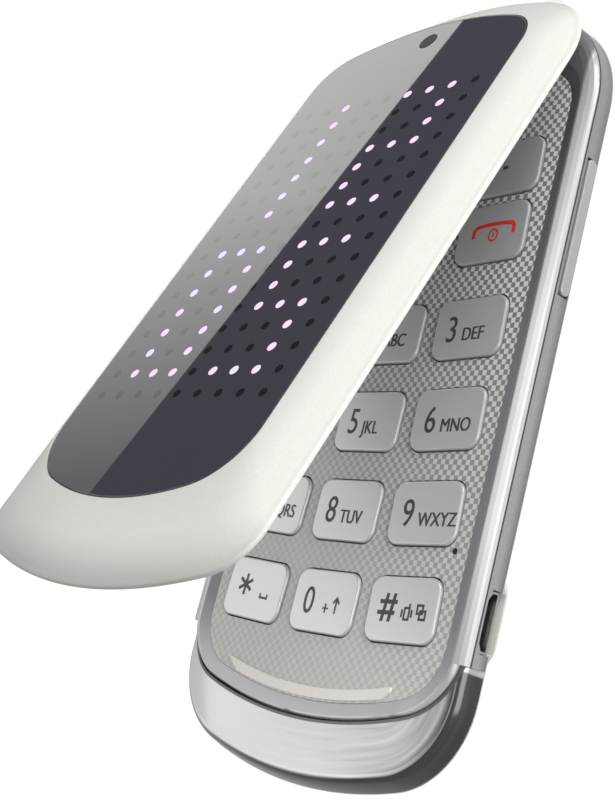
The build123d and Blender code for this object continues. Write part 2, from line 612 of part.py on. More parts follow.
def make_vibration_weight():
    half_disc = rod(MOTOR_X1 + 0.4, MOTOR_X2, MOTOR_Y, MOTOR_Z, MOTOR_R - 0.2)
    half_disc -= block(0, 40, MOTOR_Y - 5, MOTOR_Y + 5, MOTOR_Z + 0.7, MOTOR_Z + 5)
    return half_disc - rod(0, 40, MOTOR_Y, MOTOR_Z, SHAFT_R + 0.05)


def make_volume_switch():
    x1 = HALF - 2.0
    return block(x1 - 2.2, x1, VOLUME_Y - 6.5, VOLUME_Y + 6.5, DOME_Z, VOLUME_Z + 0.7)


def make_volume_key():
    x_in, x_out = HALF - 1.6, HALF + VOLUME_PROUD
    bar = block(x_in, x_out, VOLUME_Y - VOLUME_LEN / 2, VOLUME_Y + VOLUME_LEN / 2,
                VOLUME_Z - VOLUME_H / 2, VOLUME_Z + VOLUME_H / 2)
    bar = fillet(bar.edges().filter_by(Axis.X), 0.7)
    return fillet(bar.faces().sort_by(Axis.X)[-1].edges(), 0.2)


def make_base_screws():
    screws = []
    for x in (-SCREW_X, SCREW_X):
        for y in SCREW_Y:
            head = post(x, y, SCREW_HEAD_R, HEAD_Z0, HEAD_Z1)
            head -= pad(1.4, 0.4, 0.1, 2.0, HEAD_Z0 + 0.25, x, y)
            screws.append(head + post(x, y, SCREW_R, HEAD_Z1, WALL_TOP - 1.05))
    return screws


def make_hinge_module():
    """Spring and cam cartridge in the middle knuckle, with its pivot in the lid's knuckle."""
    can = rod(0.4, BASE_KNUCKLE_HALF, HINGE_Y, HINGE_Z, BARREL_BORE_R - PIVOT_GAP)
    pivot = rod(BASE_KNUCKLE_HALF, BASE_KNUCKLE_HALF + PIVOT_DEPTH, HINGE_Y, HINGE_Z,
                PIVOT_BORE_R - PIVOT_GAP)
    return can + pivot


def make_hinge_pin():
    can = rod(-BASE_KNUCKLE_HALF, -5.0, HINGE_Y, HINGE_Z, BARREL_BORE_R - PIVOT_GAP)
    pivot = rod(-BASE_KNUCKLE_HALF - PIVOT_DEPTH, -BASE_KNUCKLE_HALF, HINGE_Y, HINGE_Z,
                PIVOT_BORE_R - PIVOT_GAP)
    return can + pivot


def make_hinge_flex():
    """The flat cable's roll between the two pivots."""
    roll = rod(-4.8, 0.2, HINGE_Y, HINGE_Z, BARREL_BORE_R - 0.12)
    return roll - rod(-6, 2, HINGE_Y, HINGE_Z, BARREL_BORE_R - 0.6)


# ---------------------------------------------------------------- navigation cluster
def make_nav_rocker():
    z0, z1 = MAT_Z, CAP_Z - KEY_TRAVEL - 0.1
    disc = post(0, NAV_Y, ROCKER_R, z0, z1)
    reach = ROCKER_R - 0.1
    disc += block(-reach, reach, NAV_Y - 0.25, NAV_Y + 0.25, DOME_Z + DOME_T + 0.02, z0)
    bar = block(-0.25, 0.25, NAV_Y - reach, NAV_Y + reach, z0, CAP_Z - 0.02)
    disc += bar - block(-1, 1, NAV_Y - reach + 0.85, NAV_Y + reach - 0.85, z1, CAP_Z)
    return disc - post(0, NAV_Y, PLUNGER_R + 0.8, 0, 20)


def make_nav_ring():
    ring = round_top(pad(NAV_W, NAV_H, NAV_CORNER, CAP_Z, CAP_TOP, 0, NAV_Y), 0.4)
    for dx, dy in ((1, 0), (-1, 0), (0, 1), (0, -1)):
        ring += post(NAV_PLUNGER_AT * dx, NAV_Y + NAV_PLUNGER_AT * dy, NAV_PLUNGER_R, PLUNGER_Z,
                     CAP_Z)
    return ring - pad(NAV_HOLE, NAV_HOLE, 2.2, 0, 20, 0, NAV_Y)


def make_select_key():
    cap = round_top(pad(SELECT_SIZE, SELECT_SIZE, 1.9, CAP_Z, CAP_TOP + 0.1, 0, NAV_Y), 0.3)
    return cap + post(0, NAV_Y, PLUNGER_R, PLUNGER_Z, CAP_Z)


# ---------------------------------------------------------------- lid
def share(fall, down):
    """How far out the border has come when it has fallen by a share of its drop."""
    bend = 1 - fall
    return (sqrt(fall * fall + 4 * bend * down) - fall) / (2 * bend)


def border_plan(down, skin):
    """Outline of the lid's border at a share of its drop from the window to the rim."""
    side, free, back = (share(fall, down) for fall in (SIDE_FALL, FREE_FALL, HINGE_FALL))

    def between(a, b, t):
        return a + (b - a) * t
    plan = Plan(between(WINDOW.half, LID.half, side), between(WINDOW.low, LID.low, free),
                between(WINDOW.high, LID.high, back),
                between(WINDOW.corner_low, LID.corner_low, side),
                between(WINDOW.corner_high, LID.corner_high, side),
                between(WINDOW.arc_low, LID.arc_low, free),
                between(WINDOW.arc_high, LID.arc_high, back))
    return plan.inset(skin)


def crown_form(skin):
    """The lid's pillow: an upright rim, then a roof that rises to the window's plane."""
    base_z = RIM_Z + RIM_WALL
    top_z = THICKNESS - skin
    steps = (1.0, 0.8, 0.55, 0.3, 0.12, 0.0)
    drop = top_z - base_z
    pillow = loft([border_plan(v, skin * 0.75).face(top_z - drop * v) for v in steps], ruled=True)
    return pillow + prism(LID.inset(skin * 0.75), RIM_Z - (0.5 if skin else 0), base_z)


def lid_screw_places():
    x = LID.half - LID_SCREW_SIDE
    bow = LID.arc_low - sqrt(LID.arc_low ** 2 - x * x)
    ys = (LID.high - LID_SCREW_HINGE, LID.low + bow + LID_SCREW_FREE)
    return [(side * x, y) for side in (-1, 1) for y in ys]


def make_lid_outer_shell():
    outer = crown_form(0.0)
    shell = outer - crown_form(LID_SKIN)
    for x, y in lid_screw_places():
        shell += post(x, y, 1.5, COVER_TOP_Z + FIT, THICKNESS) & outer
        shell -= post(x, y, 0.62, 10, LID_SCREW_TOP + 0.1)
    shell -= lid_arms(FIT)
    shell -= prism(WINDOW.inset(WINDOW_LEDGE), 10, 20)
    return shell - prism(WINDOW, WINDOW_Z, 20)


def make_lid_window():
    return round_top(prism(WINDOW.inset(FIT), WINDOW_Z, THICKNESS), 0.25)


def make_led_board():
    board = prism(WINDOW.inset(WINDOW_LEDGE + 0.4), LED_BOARD_Z, LED_BOARD_Z + LED_BOARD_T)
    return board - pad(7.4, 7.4, 1.0, 0, 20, CAMERA_X, CAMERA_Y - 0.6)


def make_led_array():
    """One small lamp under each dot of the clock display."""
    z = LED_BOARD_Z + LED_BOARD_T
    lamps = []
    for row in range(LED_ROWS):
        for column in range(LED_COLUMNS):
            x = (column - (LED_COLUMNS - 1) / 2) * LED_PITCH_X
            y = LED_FIRST_Y - row * LED_PITCH_Y
            lamps.append(Pos(x, y, z + LED_T / 2) * Box(1.0, 1.6, LED_T))
    return lamps


def make_camera_module():
    middle = LED_BOARD_Z + LED_BOARD_T
    body = pad(6.8, 6.8, 0.6, COVER_TOP_Z + FIT, middle, CAMERA_X, CAMERA_Y - 0.6)
    return body + post(CAMERA_X, CAMERA_Y, 1.7, middle, WINDOW_Z - FIT)


def lid_arms(grow):
    """Webs from the inner cover down to the lid's knuckles."""
    return both_sides(block(BASE_KNUCKLE_HALF + KNUCKLE_GAP - grow, ARM_OUT + grow,
                            HINGE_Y - ARM_BACK - grow, HINGE_Y - ARM_FRONT + grow * 60,
                            HINGE_Z + 2.2, COVER_TOP_Z + grow))


def make_lid_inner_cover():
    rim = LID.inset(LID_SKIN + SLACK)
    cover = prism(rim, LENS_Z, COVER_TOP_Z) & crown_form(LID_SKIN + 2 * SLACK)
    cover -= display_lens_form(FIT, LENS_Z - 1, LENS_Z + DISPLAY_LENS_T + FIT)
    cover -= pad(DISPLAY_W + 0.3, DISPLAY_L + 0.3, 0.5, 0, 20, 0, DISPLAY_Y)
    for i in (-1, 0, 1):
        cover -= pad(2.4, 0.7, 0.34, 0, 20, 3.2 * i, EARPIECE_Y)
    for x, y in lid_screw_places():
        cover -= post(x, y, 1.25, 0, LENS_Z + 0.45)
        cover -= post(x, y, 0.7, 0, 20)
    for x, y in BUMPERS:
        cover -= post(x, y, BUMPER_R + FIT, 0, LENS_Z + 0.4)
    knuckle = barrel(BASE_KNUCKLE_HALF + KNUCKLE_GAP, LID_KNUCKLE_OUT, KNUCKLE_R)
    cover += knuckle + lid_arms(0.0)
    return cover - barrel(0, BASE_KNUCKLE_HALF + PIVOT_DEPTH + 0.3, PIVOT_BORE_R)


CAMERA_Y = WINDOW.high - CAMERA_IN
EARPIECE_Y = LID.low + EARPIECE_IN
BUMPERS = [(-BUMPER_X, LID.low + BUMPER_IN), (BUMPER_X, LID.low + BUMPER_IN),
           (-LID.half + BUMPER_SIDE, BUMPER_Y), (LID.half - BUMPER_SIDE, BUMPER_Y)]
LENS_W = 2 * (LID.half - LENS_SIDE)
LENS_L = LID.high - LENS_HINGE - LID.low - LENS_FREE
LENS_Y = LID.low + LENS_FREE + LENS_L / 2
DISPLAY_Y = LENS_Y + DISPLAY_SHIFT


def display_lens_form(grow, z0, z1):
    return pad(LENS_W + 2 * grow, LENS_L + 2 * grow, 4.0, z0, z1, 0, LENS_Y)


def make_display_lens():
    return display_lens_form(0.0, LENS_Z, LENS_Z + DISPLAY_LENS_T)


def make_display_panel():
    return pad(DISPLAY_W, DISPLAY_L, 0.4, DISPLAY_Z, DISPLAY_Z + DISPLAY_T, 0, DISPLAY_Y)


def make_earpiece():
    return pad(10.5, 3.6, 1.2, COVER_TOP_Z + FIT, COVER_TOP_Z + FIT + EARPIECE_T, 0, EARPIECE_Y)


def make_lid_magnet():
    return pad(5.0, 2.2, 0.3, COVER_TOP_Z + FIT, COVER_TOP_Z + FIT + EARPIECE_T, -12.5, EARPIECE_Y + 0.8)


def make_lid_bumpers():
    return [round_bottom(post(x, y, BUMPER_R, RIM_Z - 0.2, LENS_Z + 0.38), 0.2) for x, y in BUMPERS]


def make_lid_screws():
    screws = []
    for x, y in lid_screw_places():
        head = post(x, y, 1.15, LENS_Z + 0.02, LENS_Z + 0.43)
        head -= pad(1.4, 0.35, 0.1, LENS_Z - 1, LENS_Z + 0.2, x, y)
        screws.append(head + post(x, y, 0.58, LENS_Z + 0.43, LID_SCREW_TOP))
    return screws


# ---------------------------------------------------------------- the whole phone
BASE_PIECES = {
    "battery_cover": make_battery_cover,
    "rear_end_cap": make_rear_end_cap,
    "rear_housing": make_rear_housing,
    "front_bezel": make_front_bezel,
    "keypad_plate": make_keypad_plate,
    "plate_strip": make_plate_strip,
    "chin_trim": make_chin_trim,
    "chin_lens": make_chin_lens,
    "chin_reflector": make_chin_reflector,
    "main_board": make_main_board,
    "dome_sheet": make_dome_sheet,
    "keymat": make_keymat,
    "board_shields": make_board_shields,
    "battery": make_battery,
    "battery_contacts": make_battery_contacts,
    "sim_holder": make_sim_holder,
    "usb_socket": make_usb_socket,
    "headset_jack": make_headset_jack,
    "microphone": make_microphone,
    "loudspeaker": make_loudspeaker,
    "antenna": lambda: antenna_form(0.0),
    "vibration_motor": make_vibration_motor,
    "vibration_weight": make_vibration_weight,
    "volume_switch": make_volume_switch,
    "volume_key": make_volume_key,
    "base_screws": make_base_screws,
    "hinge_module": make_hinge_module,
    "hinge_pin": make_hinge_pin,
    "hinge_flex": make_hinge_flex,
    "nav_rocker": make_nav_rocker,
    "nav_ring": make_nav_ring,
    "select_key": make_select_key,
}
LID_PIECES = {
    "lid_outer_shell": make_lid_outer_shell,
    "lid_window": make_lid_window,
    "led_board": make_led_board,
    "led_array": make_led_array,
    "camera_module": make_camera_module,
    "lid_inner_cover": make_lid_inner_cover,
    "display_lens": make_display_lens,
    "display_panel": make_display_panel,
    "earpiece": make_earpiece,
    "lid_magnet": make_lid_magnet,
    "lid_bumpers": make_lid_bumpers,
    "lid_screws": make_lid_screws,
}


def write(name, shape):
    solids = shape if isinstance(shape, list) else [shape]
    solids = [solid for piece in solids for solid in piece.solids()]
    export_step(Compound(solids) if len(solids) > 1 else solids[0], f"parts/{name}.step")
    volume = sum(solid.volume for solid in solids)
    print(f"{name:18s} solids {len(solids):3d}  volume {volume:9.1f}")


def main():
    os.makedirs("parts", exist_ok=True)
    for name, make in BASE_PIECES.items():
        write(name, make())
    for name, spec in KEYS.items():
        write(name, key(*spec))
    for name, make in LID_PIECES.items():
        made = make()
        pieces = made if isinstance(made, list) else [made]
        write(name, [opened(piece) for piece in pieces])


main()
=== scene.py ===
# %% [markdown]
# A clamshell phone, dressed. The packed model gives every solid in metres, lying on its back
# with the lid a little open. The phone could be modelled again from nothing, but then no piece
# would be sure to fit. So each visible piece is built on a solid that is in the right place.

# %% Load the frame
import json
from math import atan2, cos, hypot, pi, radians, sin, sqrt

import bmesh
import bpy
from mathutils import Matrix, Vector


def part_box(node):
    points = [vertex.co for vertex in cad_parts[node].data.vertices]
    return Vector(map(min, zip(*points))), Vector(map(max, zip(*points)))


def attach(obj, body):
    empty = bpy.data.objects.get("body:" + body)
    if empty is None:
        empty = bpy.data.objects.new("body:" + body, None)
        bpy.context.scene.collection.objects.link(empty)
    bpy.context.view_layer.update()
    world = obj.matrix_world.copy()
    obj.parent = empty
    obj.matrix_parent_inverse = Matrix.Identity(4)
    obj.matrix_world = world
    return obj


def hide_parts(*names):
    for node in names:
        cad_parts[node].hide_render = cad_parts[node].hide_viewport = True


MM = 0.001
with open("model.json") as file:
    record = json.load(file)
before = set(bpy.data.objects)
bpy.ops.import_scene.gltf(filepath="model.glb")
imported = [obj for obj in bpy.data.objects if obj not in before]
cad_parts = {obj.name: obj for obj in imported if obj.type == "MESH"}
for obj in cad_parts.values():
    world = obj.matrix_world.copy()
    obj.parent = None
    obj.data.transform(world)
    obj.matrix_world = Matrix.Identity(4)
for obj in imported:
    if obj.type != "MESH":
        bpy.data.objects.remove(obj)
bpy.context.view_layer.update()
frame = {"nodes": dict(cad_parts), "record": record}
NODES = frame["nodes"]

# %% [markdown]
# The view is from close by, with the camera rolled. A look-at target can't roll, so the camera
# gets a measured place and its own three axes.

# %% Camera
CAMERA_AT = (139.24, -49.50, 135.77)
CAMERA_RIGHT = (0.6605, 0.2457, -0.7095)
CAMERA_UP = (0.0072, 0.9428, 0.3331)
CAMERA_BACK = (0.7508, -0.2251, 0.6210)
LENS_MM, SENSOR_MM, NEAREST = 86.09, 36.0, 0.005


def mm(x, y, z):
    return Vector((x * MM, y * MM, z * MM))


def put(name, data):
    """A new object in the scene."""
    made = bpy.data.objects.new(name, data)
    bpy.context.scene.collection.objects.link(made)
    return made


camera_data = bpy.data.cameras.new("camera")
camera_data.lens = LENS_MM
camera_data.sensor_width = SENSOR_MM
camera_data.sensor_fit = "HORIZONTAL"
camera_data.clip_start = NEAREST
camera = put("camera", camera_data)
axes = Matrix((CAMERA_RIGHT, CAMERA_UP, CAMERA_BACK)).transposed()
camera.matrix_world = Matrix.Translation(mm(*CAMERA_AT)) @ axes.to_4x4()
bpy.context.scene.camera = camera
bpy.context.scene.view_settings.view_transform = "Standard"
print("camera stands", round(camera.location.length, 3), "m away")

# %% [markdown]
# Shader maths could be wired by hand, one Math node after the other. It reads better as plain
# expressions: this class wraps a socket, so that a * b + c adds the Math nodes by itself.


# %% Wires
class Wire:
    """A node's output, with arithmetic."""

    def __init__(self, finish, socket):
        self.finish, self.socket = finish, socket

    def math(self, operation, *others):
        values = dict(enumerate((self, *others)))
        return self.finish.node("Math", {"operation": operation}, values)[0]

    def __add__(self, other):
        return self.math("ADD", other)

    def __sub__(self, other):
        return self.math("SUBTRACT", other)

    def __mul__(self, other):
        return self.math("MULTIPLY", other)

    def __rsub__(self, other):
        return (self * -1) + other

    __radd__ = __add__
    __rmul__ = __mul__

    def clamp(self):
        return self.math("MINIMUM", 1.0).math("MAXIMUM", 0.0)

    def ramp(self, low, high):
        """0 at low, 1 at high, straight between and flat beyond."""
        return ((self - low) * (1.0 / (high - low))).clamp()

    def band(self, low, high, soft):
        """1 between low and high, fading inward over soft."""
        return self.ramp(low, low + soft) * self.ramp(high, high - soft)


print("a wire can", *(name for name in vars(Wire) if name[0] != "_"))

# %% [markdown]
# A finish is a material. One method adds any node, and the others are short forms of it. Places
# are in millimetres, so that a number in a finish can be checked with a ruler on the phone.

# %% Finishes
FLAKES_PER_MM, FLAKE_BUMP = 8.0, 0.00005


class Finish:
    """A material whose nodes are added by name."""

    def __init__(self, name, **values):
        self.material = bpy.data.materials.new(name)
        self.material.use_nodes = True
        self.tree = self.material.node_tree
        self.shader = self.tree.nodes["Principled BSDF"]
        for socket, value in values.items():
            self.set(socket.replace("_", " "), value)

    def feed(self, target, value):
        """Links a wire to a socket, or sets a plain value there."""
        if isinstance(value, Wire):
            self.tree.links.new(value.socket, target)
        elif isinstance(value, tuple) and len(target.default_value) == 4:
            target.default_value = (*value, 1.0)
        else:
            target.default_value = value

    def set(self, socket, value):
        self.feed(self.shader.inputs[socket], value)

    def node(self, kind, settings=None, inputs=None):
        """Adds ShaderNode<kind>; settings first, then sockets by name or number."""
        made = self.tree.nodes.new("ShaderNode" + kind)
        for key, value in (settings or {}).items():
            setattr(made, key, value)
        for key, value in (inputs or {}).items():
            self.feed(made.inputs[key], value)
        return [Wire(self, socket) for socket in made.outputs]

    def place(self):
        """Where a point lies on its own object: x, y and z in millimetres."""
        x, y, z = self.node("SeparateXYZ", None, {0: self.node("TexCoord")[3]})
        return x * (1 / MM), y * (1 / MM), z * (1 / MM)

    def spot(self):
        """The same place as one vector."""
        inputs = {0: self.node("TexCoord")[3], "Scale": 1 / MM}
        return self.node("VectorMath", {"operation": "SCALE"}, inputs)[0]

    def mix(self, factor, first, second):
        """Colour mix: first where factor is 0, second where it is 1."""
        inputs = {0: factor, 6: first, 7: second}
        return self.node("Mix", {"data_type": "RGBA"}, inputs)[2]

    def noise(self, size, detail=2.0):
        """Soft noise from 0 to 1 whose grains are about size millimetres."""
        inputs = {"Vector": self.spot(), "Scale": 1.0 / size, "Detail": detail}
        return self.node("TexNoise", None, inputs)[0]

    def flakes(self):
        """A level from 0 to 1 for each paint flake."""
        inputs = {"Vector": self.spot(), "Scale": FLAKES_PER_MM}
        cells = self.node("TexVoronoi", None, inputs)[1]
        return self.node("SeparateColor", None, {0: cells})[0]

    def bump(self, height, strength, distance=0.0001):
        inputs = {"Height": height, "Strength": strength, "Distance": distance}
        self.set("Normal", self.node("Bump", None, inputs)[0])


print("one flake is", 1 / FLAKES_PER_MM, "mm")

# %% [markdown]
# Painted plastic has a coloured coat whose tiny flakes glint, and a clear coat. Each flake
# could be a speck in the mesh, but it is finer than a pixel. A faint cell pattern in colour,
# roughness and normal gives the same sparkle.

# %% Flaked paint
CLOUD_MM, CLOUD_ROUGHNESS, FLAKE_ROUGHNESS = 7.0, 0.03, 0.05


def around(colour, share):
    """A darker and a brighter one."""
    return tuple(c * (1 - share) for c in colour), tuple(min(1.0, c * (1 + share)) for c in colour)


def paint(name, colour, roughness, metallic, coat, grain, flake):
    """Paint with fine flakes and a faint cloudiness over some millimetres."""
    finish = Finish(name, Metallic=metallic, Coat_Weight=coat, Coat_Roughness=0.12)
    level, cloud = finish.flakes(), finish.noise(CLOUD_MM)
    finish.set("Base Color", finish.mix(level, *around(colour, flake)))
    finish.set("Roughness", cloud * CLOUD_ROUGHNESS + roughness + level * FLAKE_ROUGHNESS)
    finish.bump(level, grain, FLAKE_BUMP)
    return finish.material


PEARL = paint("pearl_paint", (0.80, 0.785, 0.735), 0.36, 0.0, 0.35, 0.05, 0.05)
VOLUME = paint("volume_paint", (0.46, 0.46, 0.47), 0.34, 0.4, 0.15, 0.03, 0.02)
WARM = paint("strip_paint", (0.92, 0.885, 0.84), 0.30, 0.1, 0.4, 0.03, 0.03)
print("paints:", PEARL.name, VOLUME.name, WARM.name)

# %% [markdown]
# The side wall is sprayed silver. Painted shade darkens it toward the back cover and toward the
# hinge, and a dark line runs where it meets the bezel. More lamps could shade it like that, but
# they would reach the other pieces too, so the painted shade is mixed by height and length.

# %% Side wall
WALL_SHADE_Z, WALL_SHADE_Y, WALL_PARTING_Z = (7.6, 6.3), (-10.0, 50.0), (8.58, 8.66)


def wall_finish():
    finish = Finish("silver_paint", Metallic=0.6, Coat_Weight=0.1, Coat_Roughness=0.2)
    _, y, z = finish.place()
    level = finish.flakes()
    grain = finish.mix(level, (0.38, 0.38, 0.39), (0.48, 0.48, 0.49))
    # Painted shade: darker toward the back cover here and toward the hinge in the next line.
    low = finish.mix(z.ramp(*WALL_SHADE_Z), grain, (0.24, 0.24, 0.25))
    tone = finish.mix(y.ramp(*WALL_SHADE_Y) * 0.6, low, (0.26, 0.26, 0.27))
    parting = z.ramp(*WALL_PARTING_Z) * 0.9
    finish.set("Base Color", finish.mix(parting, tone, (0.05, 0.05, 0.055)))
    finish.set("Roughness", level * 0.06 + 0.36)
    finish.bump(level, 0.10, FLAKE_BUMP)
    return finish.material


SILVER = wall_finish()
print("wall:", SILVER.name)

# %% [markdown]
# The bezel round the keypad is silver too. Its inner slope lies in the plate's shade, painted
# shade here, and its shoulder has a painted highlight. It could be cut into meshes with a material
# each; masks along x and y keep it one piece and let the tones fade into each other.

# %% Bezel
SLOPE_X, SLOPE_Y = (24.05, 23.5), (-42.0, -32.0)
SHOULDER_IN_X, SHOULDER_OUT_X, SHOULDER_Y = (23.9, 24.2), (25.60, 25.50), (-40.0, -20.0)
SLOPE_SHADE_Y, HIGHLIGHT_FADE_Y, BEZEL_PARTING_Z = (-30.0, 45.0), (5.0, 48.0), (8.92, 8.84)


def bezel_finish():
    finish = Finish("bezel_paint", Coat_Weight=0.2, Coat_Roughness=0.12)
    x, y, z = finish.place()
    side = x.math("ABSOLUTE")
    slope = side.ramp(*SLOPE_X) * y.ramp(*SLOPE_Y)
    shoulder = side.ramp(*SHOULDER_IN_X) * side.ramp(*SHOULDER_OUT_X) * y.ramp(*SHOULDER_Y)
    cloud = finish.noise(0.25, 3.0)
    body = finish.mix(cloud, (0.66, 0.66, 0.68), (0.74, 0.74, 0.76))
    # Painted shade on the inner slope, deeper toward the hinge, and a painted highlight on the
    # shoulder, weaker toward the hinge.
    slope_shade = finish.mix(y.ramp(*SLOPE_SHADE_Y), (0.26, 0.26, 0.275), (0.17, 0.17, 0.185))
    bright = finish.mix(y.ramp(*HIGHLIGHT_FADE_Y), (0.96, 0.96, 0.96), (0.34, 0.34, 0.35))
    tone = finish.mix(shoulder, finish.mix(slope * 0.85, body, slope_shade), bright)
    parting = z.ramp(*BEZEL_PARTING_Z) * 0.9
    finish.set("Base Color", finish.mix(parting, tone, (0.04, 0.04, 0.045)))
    finish.set("Metallic", 0.6 - shoulder * 0.45)
    finish.set("Roughness", cloud * 0.06 + 0.26)
    finish.bump(cloud, 0.04, FLAKE_BUMP)
    return finish.material


BEZEL = bezel_finish()
print("bezel:", BEZEL.name)

# %% [markdown]
# The key caps are satin, with painted shade that deepens from the chin toward the hinge and the
# right-hand column, and painted shade on each face's falling edge. The edge could have a material
# of its own; as all faces lie at one height, a mask by height finds every edge at once.

# %% Keys
KEY_EDGE_SHADE_Z, KEY_SHADE_REACH = (9.745, 9.66), (-12.0, 36.0)


def key_finish():
    finish = Finish("key_paint", Metallic=0.3, Coat_Weight=0.1, Coat_Roughness=0.2)
    x, y, z = finish.place()
    shade_reach = y * 0.75 + x * 1.1
    cloud = finish.noise(0.3, 3.0)
    # Painted shade: darker toward the hinge and the right-hand column, and on each cap's falling
    # edge.
    tint = finish.mix(shade_reach.ramp(*KEY_SHADE_REACH), (0.97, 0.96, 0.935), (0.64, 0.64, 0.64))
    finish.set("Base Color", finish.mix(z.ramp(*KEY_EDGE_SHADE_Z) * 0.4, tint, (0.20, 0.195, 0.19)))
    finish.set("Roughness", cloud * 0.06 + 0.36)
    finish.bump(cloud, 0.03, FLAKE_BUMP)
    return finish.material


KEY = key_finish()
print("keys:", KEY.name)

# %% [markdown]
# The lid is pearl, with painted shade on the shelf along the window, at the hinge end, and where
# it rolls down at the free end. Its masks could be set on the open lid, but they are plainer with
# the lid shut, so the place is first turned back about the hinge.

# %% Lid paint
THICKNESS, REST_ANGLE, HINGE_Y, HINGE_Z = 13.6, 22.0, 50.25, 6.45
SHELF_X, SHELF_Y, SHELF_END_Y = (22.6, 19.4), (-45.0, -20.0), (46.5, 50.0)
ROLL_Z, ROLL_Y = (12.6, 10.2), (-36.0, -45.0)
KNUCKLE_X, KNUCKLE_FROM_Y = (14.6, 14.4), (46.2, 46.5)


def lid_place(finish):
    """Where a point of the lid is with the lid shut, in millimetres."""
    x, along, up = finish.place()
    along, up = along - HINGE_Y, up - HINGE_Z
    lean_cos, lean_sin = cos(radians(REST_ANGLE)), sin(radians(REST_ANGLE))
    return (x, along * lean_cos - up * lean_sin + HINGE_Y,
            along * lean_sin + up * lean_cos + HINGE_Z)


def cover_finish():
    """Silver inner cover of the lid, with pearl on its two hinge knuckles."""
    finish = Finish("cover_paint", Coat_Weight=0.2, Coat_Roughness=0.12, Roughness=0.34)
    x, y, _ = lid_place(finish)
    knuckle = x.math("ABSOLUTE").ramp(*KNUCKLE_X) * y.ramp(*KNUCKLE_FROM_Y)
    finish.set("Base Color", finish.mix(knuckle, (0.62, 0.62, 0.64), (0.80, 0.785, 0.74)))
    finish.set("Metallic", 0.5 - knuckle * 0.5)
    return finish.material


def lid_pearl():
    finish = Finish("lid_pearl", Coat_Weight=0.35, Coat_Roughness=0.12)
    x, y, z = lid_place(finish)
    level = finish.flakes()
    tint = finish.mix(level, (0.78, 0.766, 0.72), (0.84, 0.825, 0.775))
    # Painted shade on the shelf along the window and at the hinge end, and where the free end
    # rolls down.
    shelf_shade = x.math("ABSOLUTE").ramp(*SHELF_X) * y.ramp(*SHELF_Y)
    shelf_shade = (shelf_shade + y.ramp(*SHELF_END_Y) * 0.7).clamp()
    tint = finish.mix(shelf_shade * 0.72, tint, (0.60, 0.585, 0.56))
    roll_shade = z.ramp(*ROLL_Z) * y.ramp(*ROLL_Y)
    finish.set("Base Color", finish.mix(roll_shade * 0.9, tint, (0.36, 0.345, 0.33)))
    cloud = finish.noise(CLOUD_MM)
    finish.set("Roughness", level * FLAKE_ROUGHNESS + cloud * CLOUD_ROUGHNESS + 0.36)
    finish.bump(level, 0.05, FLAKE_BUMP)
    return finish.material


LID_PEARL, COVER = lid_pearl(), cover_finish()
print("lid:", LID_PEARL.name, COVER.name)

# %% [markdown]
# The keypad plate carries a fine check. An image could hold it, but rounded coordinates draw
# it sharp at any size. Each square catches the light another way, and that is a painted
# reflection: its contrast is strong near the hinge and melts away at the chin.

# %% Checked plate
CHECK_MM, CHECK_REFLECTION_REACH = 0.68, (-24.0, 22.0)


def checked_plate():
    finish = Finish("checked_plate", Metallic=0.05, Coat_Weight=0.15, Coat_Roughness=0.15)
    x, y, _ = finish.place()
    column = (x * (1 / CHECK_MM)).math("FLOOR")
    row = (y * (1 / CHECK_MM)).math("FLOOR")
    odd = (column + row).math("PINGPONG", 1.0)
    # Painted reflection: the squares' light and dark tones stand apart near the hinge and merge at
    # the chin.
    reflection_contrast = (y * 0.85 + x * 0.75).ramp(*CHECK_REFLECTION_REACH)
    pale = finish.mix(reflection_contrast, (0.74, 0.715, 0.685), (0.97, 0.96, 0.94))
    dark = finish.mix(reflection_contrast, (0.62, 0.60, 0.575), (0.30, 0.30, 0.305))
    finish.set("Base Color", finish.mix(odd, dark, pale))
    finish.set("Roughness", odd * 0.10 + 0.30)
    finish.bump(odd, 0.35)
    return finish.material


PLATE = checked_plate()
print("one check is", CHECK_MM, "mm")

# %% [markdown]
# The small pieces are moulded black, bare metal, rubber, board and film. Each could have nodes
# of its own kind. One function with a faint blotch serves them all, since no real surface is
# one flat colour.


# %% Plain materials
def plain(name, colour, roughness, metallic=0.0, coat=0.0, size=0.8, vary=0.12, bump=0.03):
    """A moulded or metal surface with faint blotches of size millimetres."""
    finish = Finish(name, Metallic=metallic, Coat_Weight=coat)
    cloud = finish.noise(size, 4.0)
    finish.set("Base Color", finish.mix(cloud, *around(colour, vary)))
    finish.set("Roughness", cloud * 0.12 + roughness - 0.06)
    finish.bump(cloud, bump)
    return finish.material


LENS = plain("display_black", (0.015, 0.015, 0.018), 0.09, 0.0, 1.0, 12.0, 0.05, 0.0)
BLACK = plain("moulded_black", (0.022, 0.022, 0.024), 0.5)
STEEL = plain("tinned_steel", (0.55, 0.55, 0.55), 0.32, 1.0)
BRIGHT = plain("bright_trim", (0.78, 0.78, 0.79), 0.16, 0.8, 0.3)
BOARD = plain("solder_mask", (0.02, 0.11, 0.045), 0.4, 0.0, 0.3, 0.6, 0.25)
RUBBER = plain("silicone", (0.16, 0.165, 0.17), 0.6)
FILM = plain("dome_film", (0.62, 0.62, 0.60), 0.35, 0.3)
WRAP = plain("cell_wrap", (0.035, 0.035, 0.04), 0.45)
GOLD = plain("gold_plate", (0.80, 0.58, 0.22), 0.25, 1.0)
AMBER = plain("amber_film", (0.45, 0.19, 0.04), 0.35, 0.1, 0.3)
CLEAR = plain("cap_clear", (0.62, 0.62, 0.64), 0.08, 0.1, 1.0, 3.0, 0.08, 0.0)
LAMP = plain("lamp_body", (0.75, 0.74, 0.70), 0.5)
INK = plain("ink_grey", (0.080, 0.080, 0.085), 0.45, 0.0, 0.0, 0.3, 0.10, 0.0)
TRIM = plain("trim_line", (0.16, 0.16, 0.165), 0.3, 0.5)
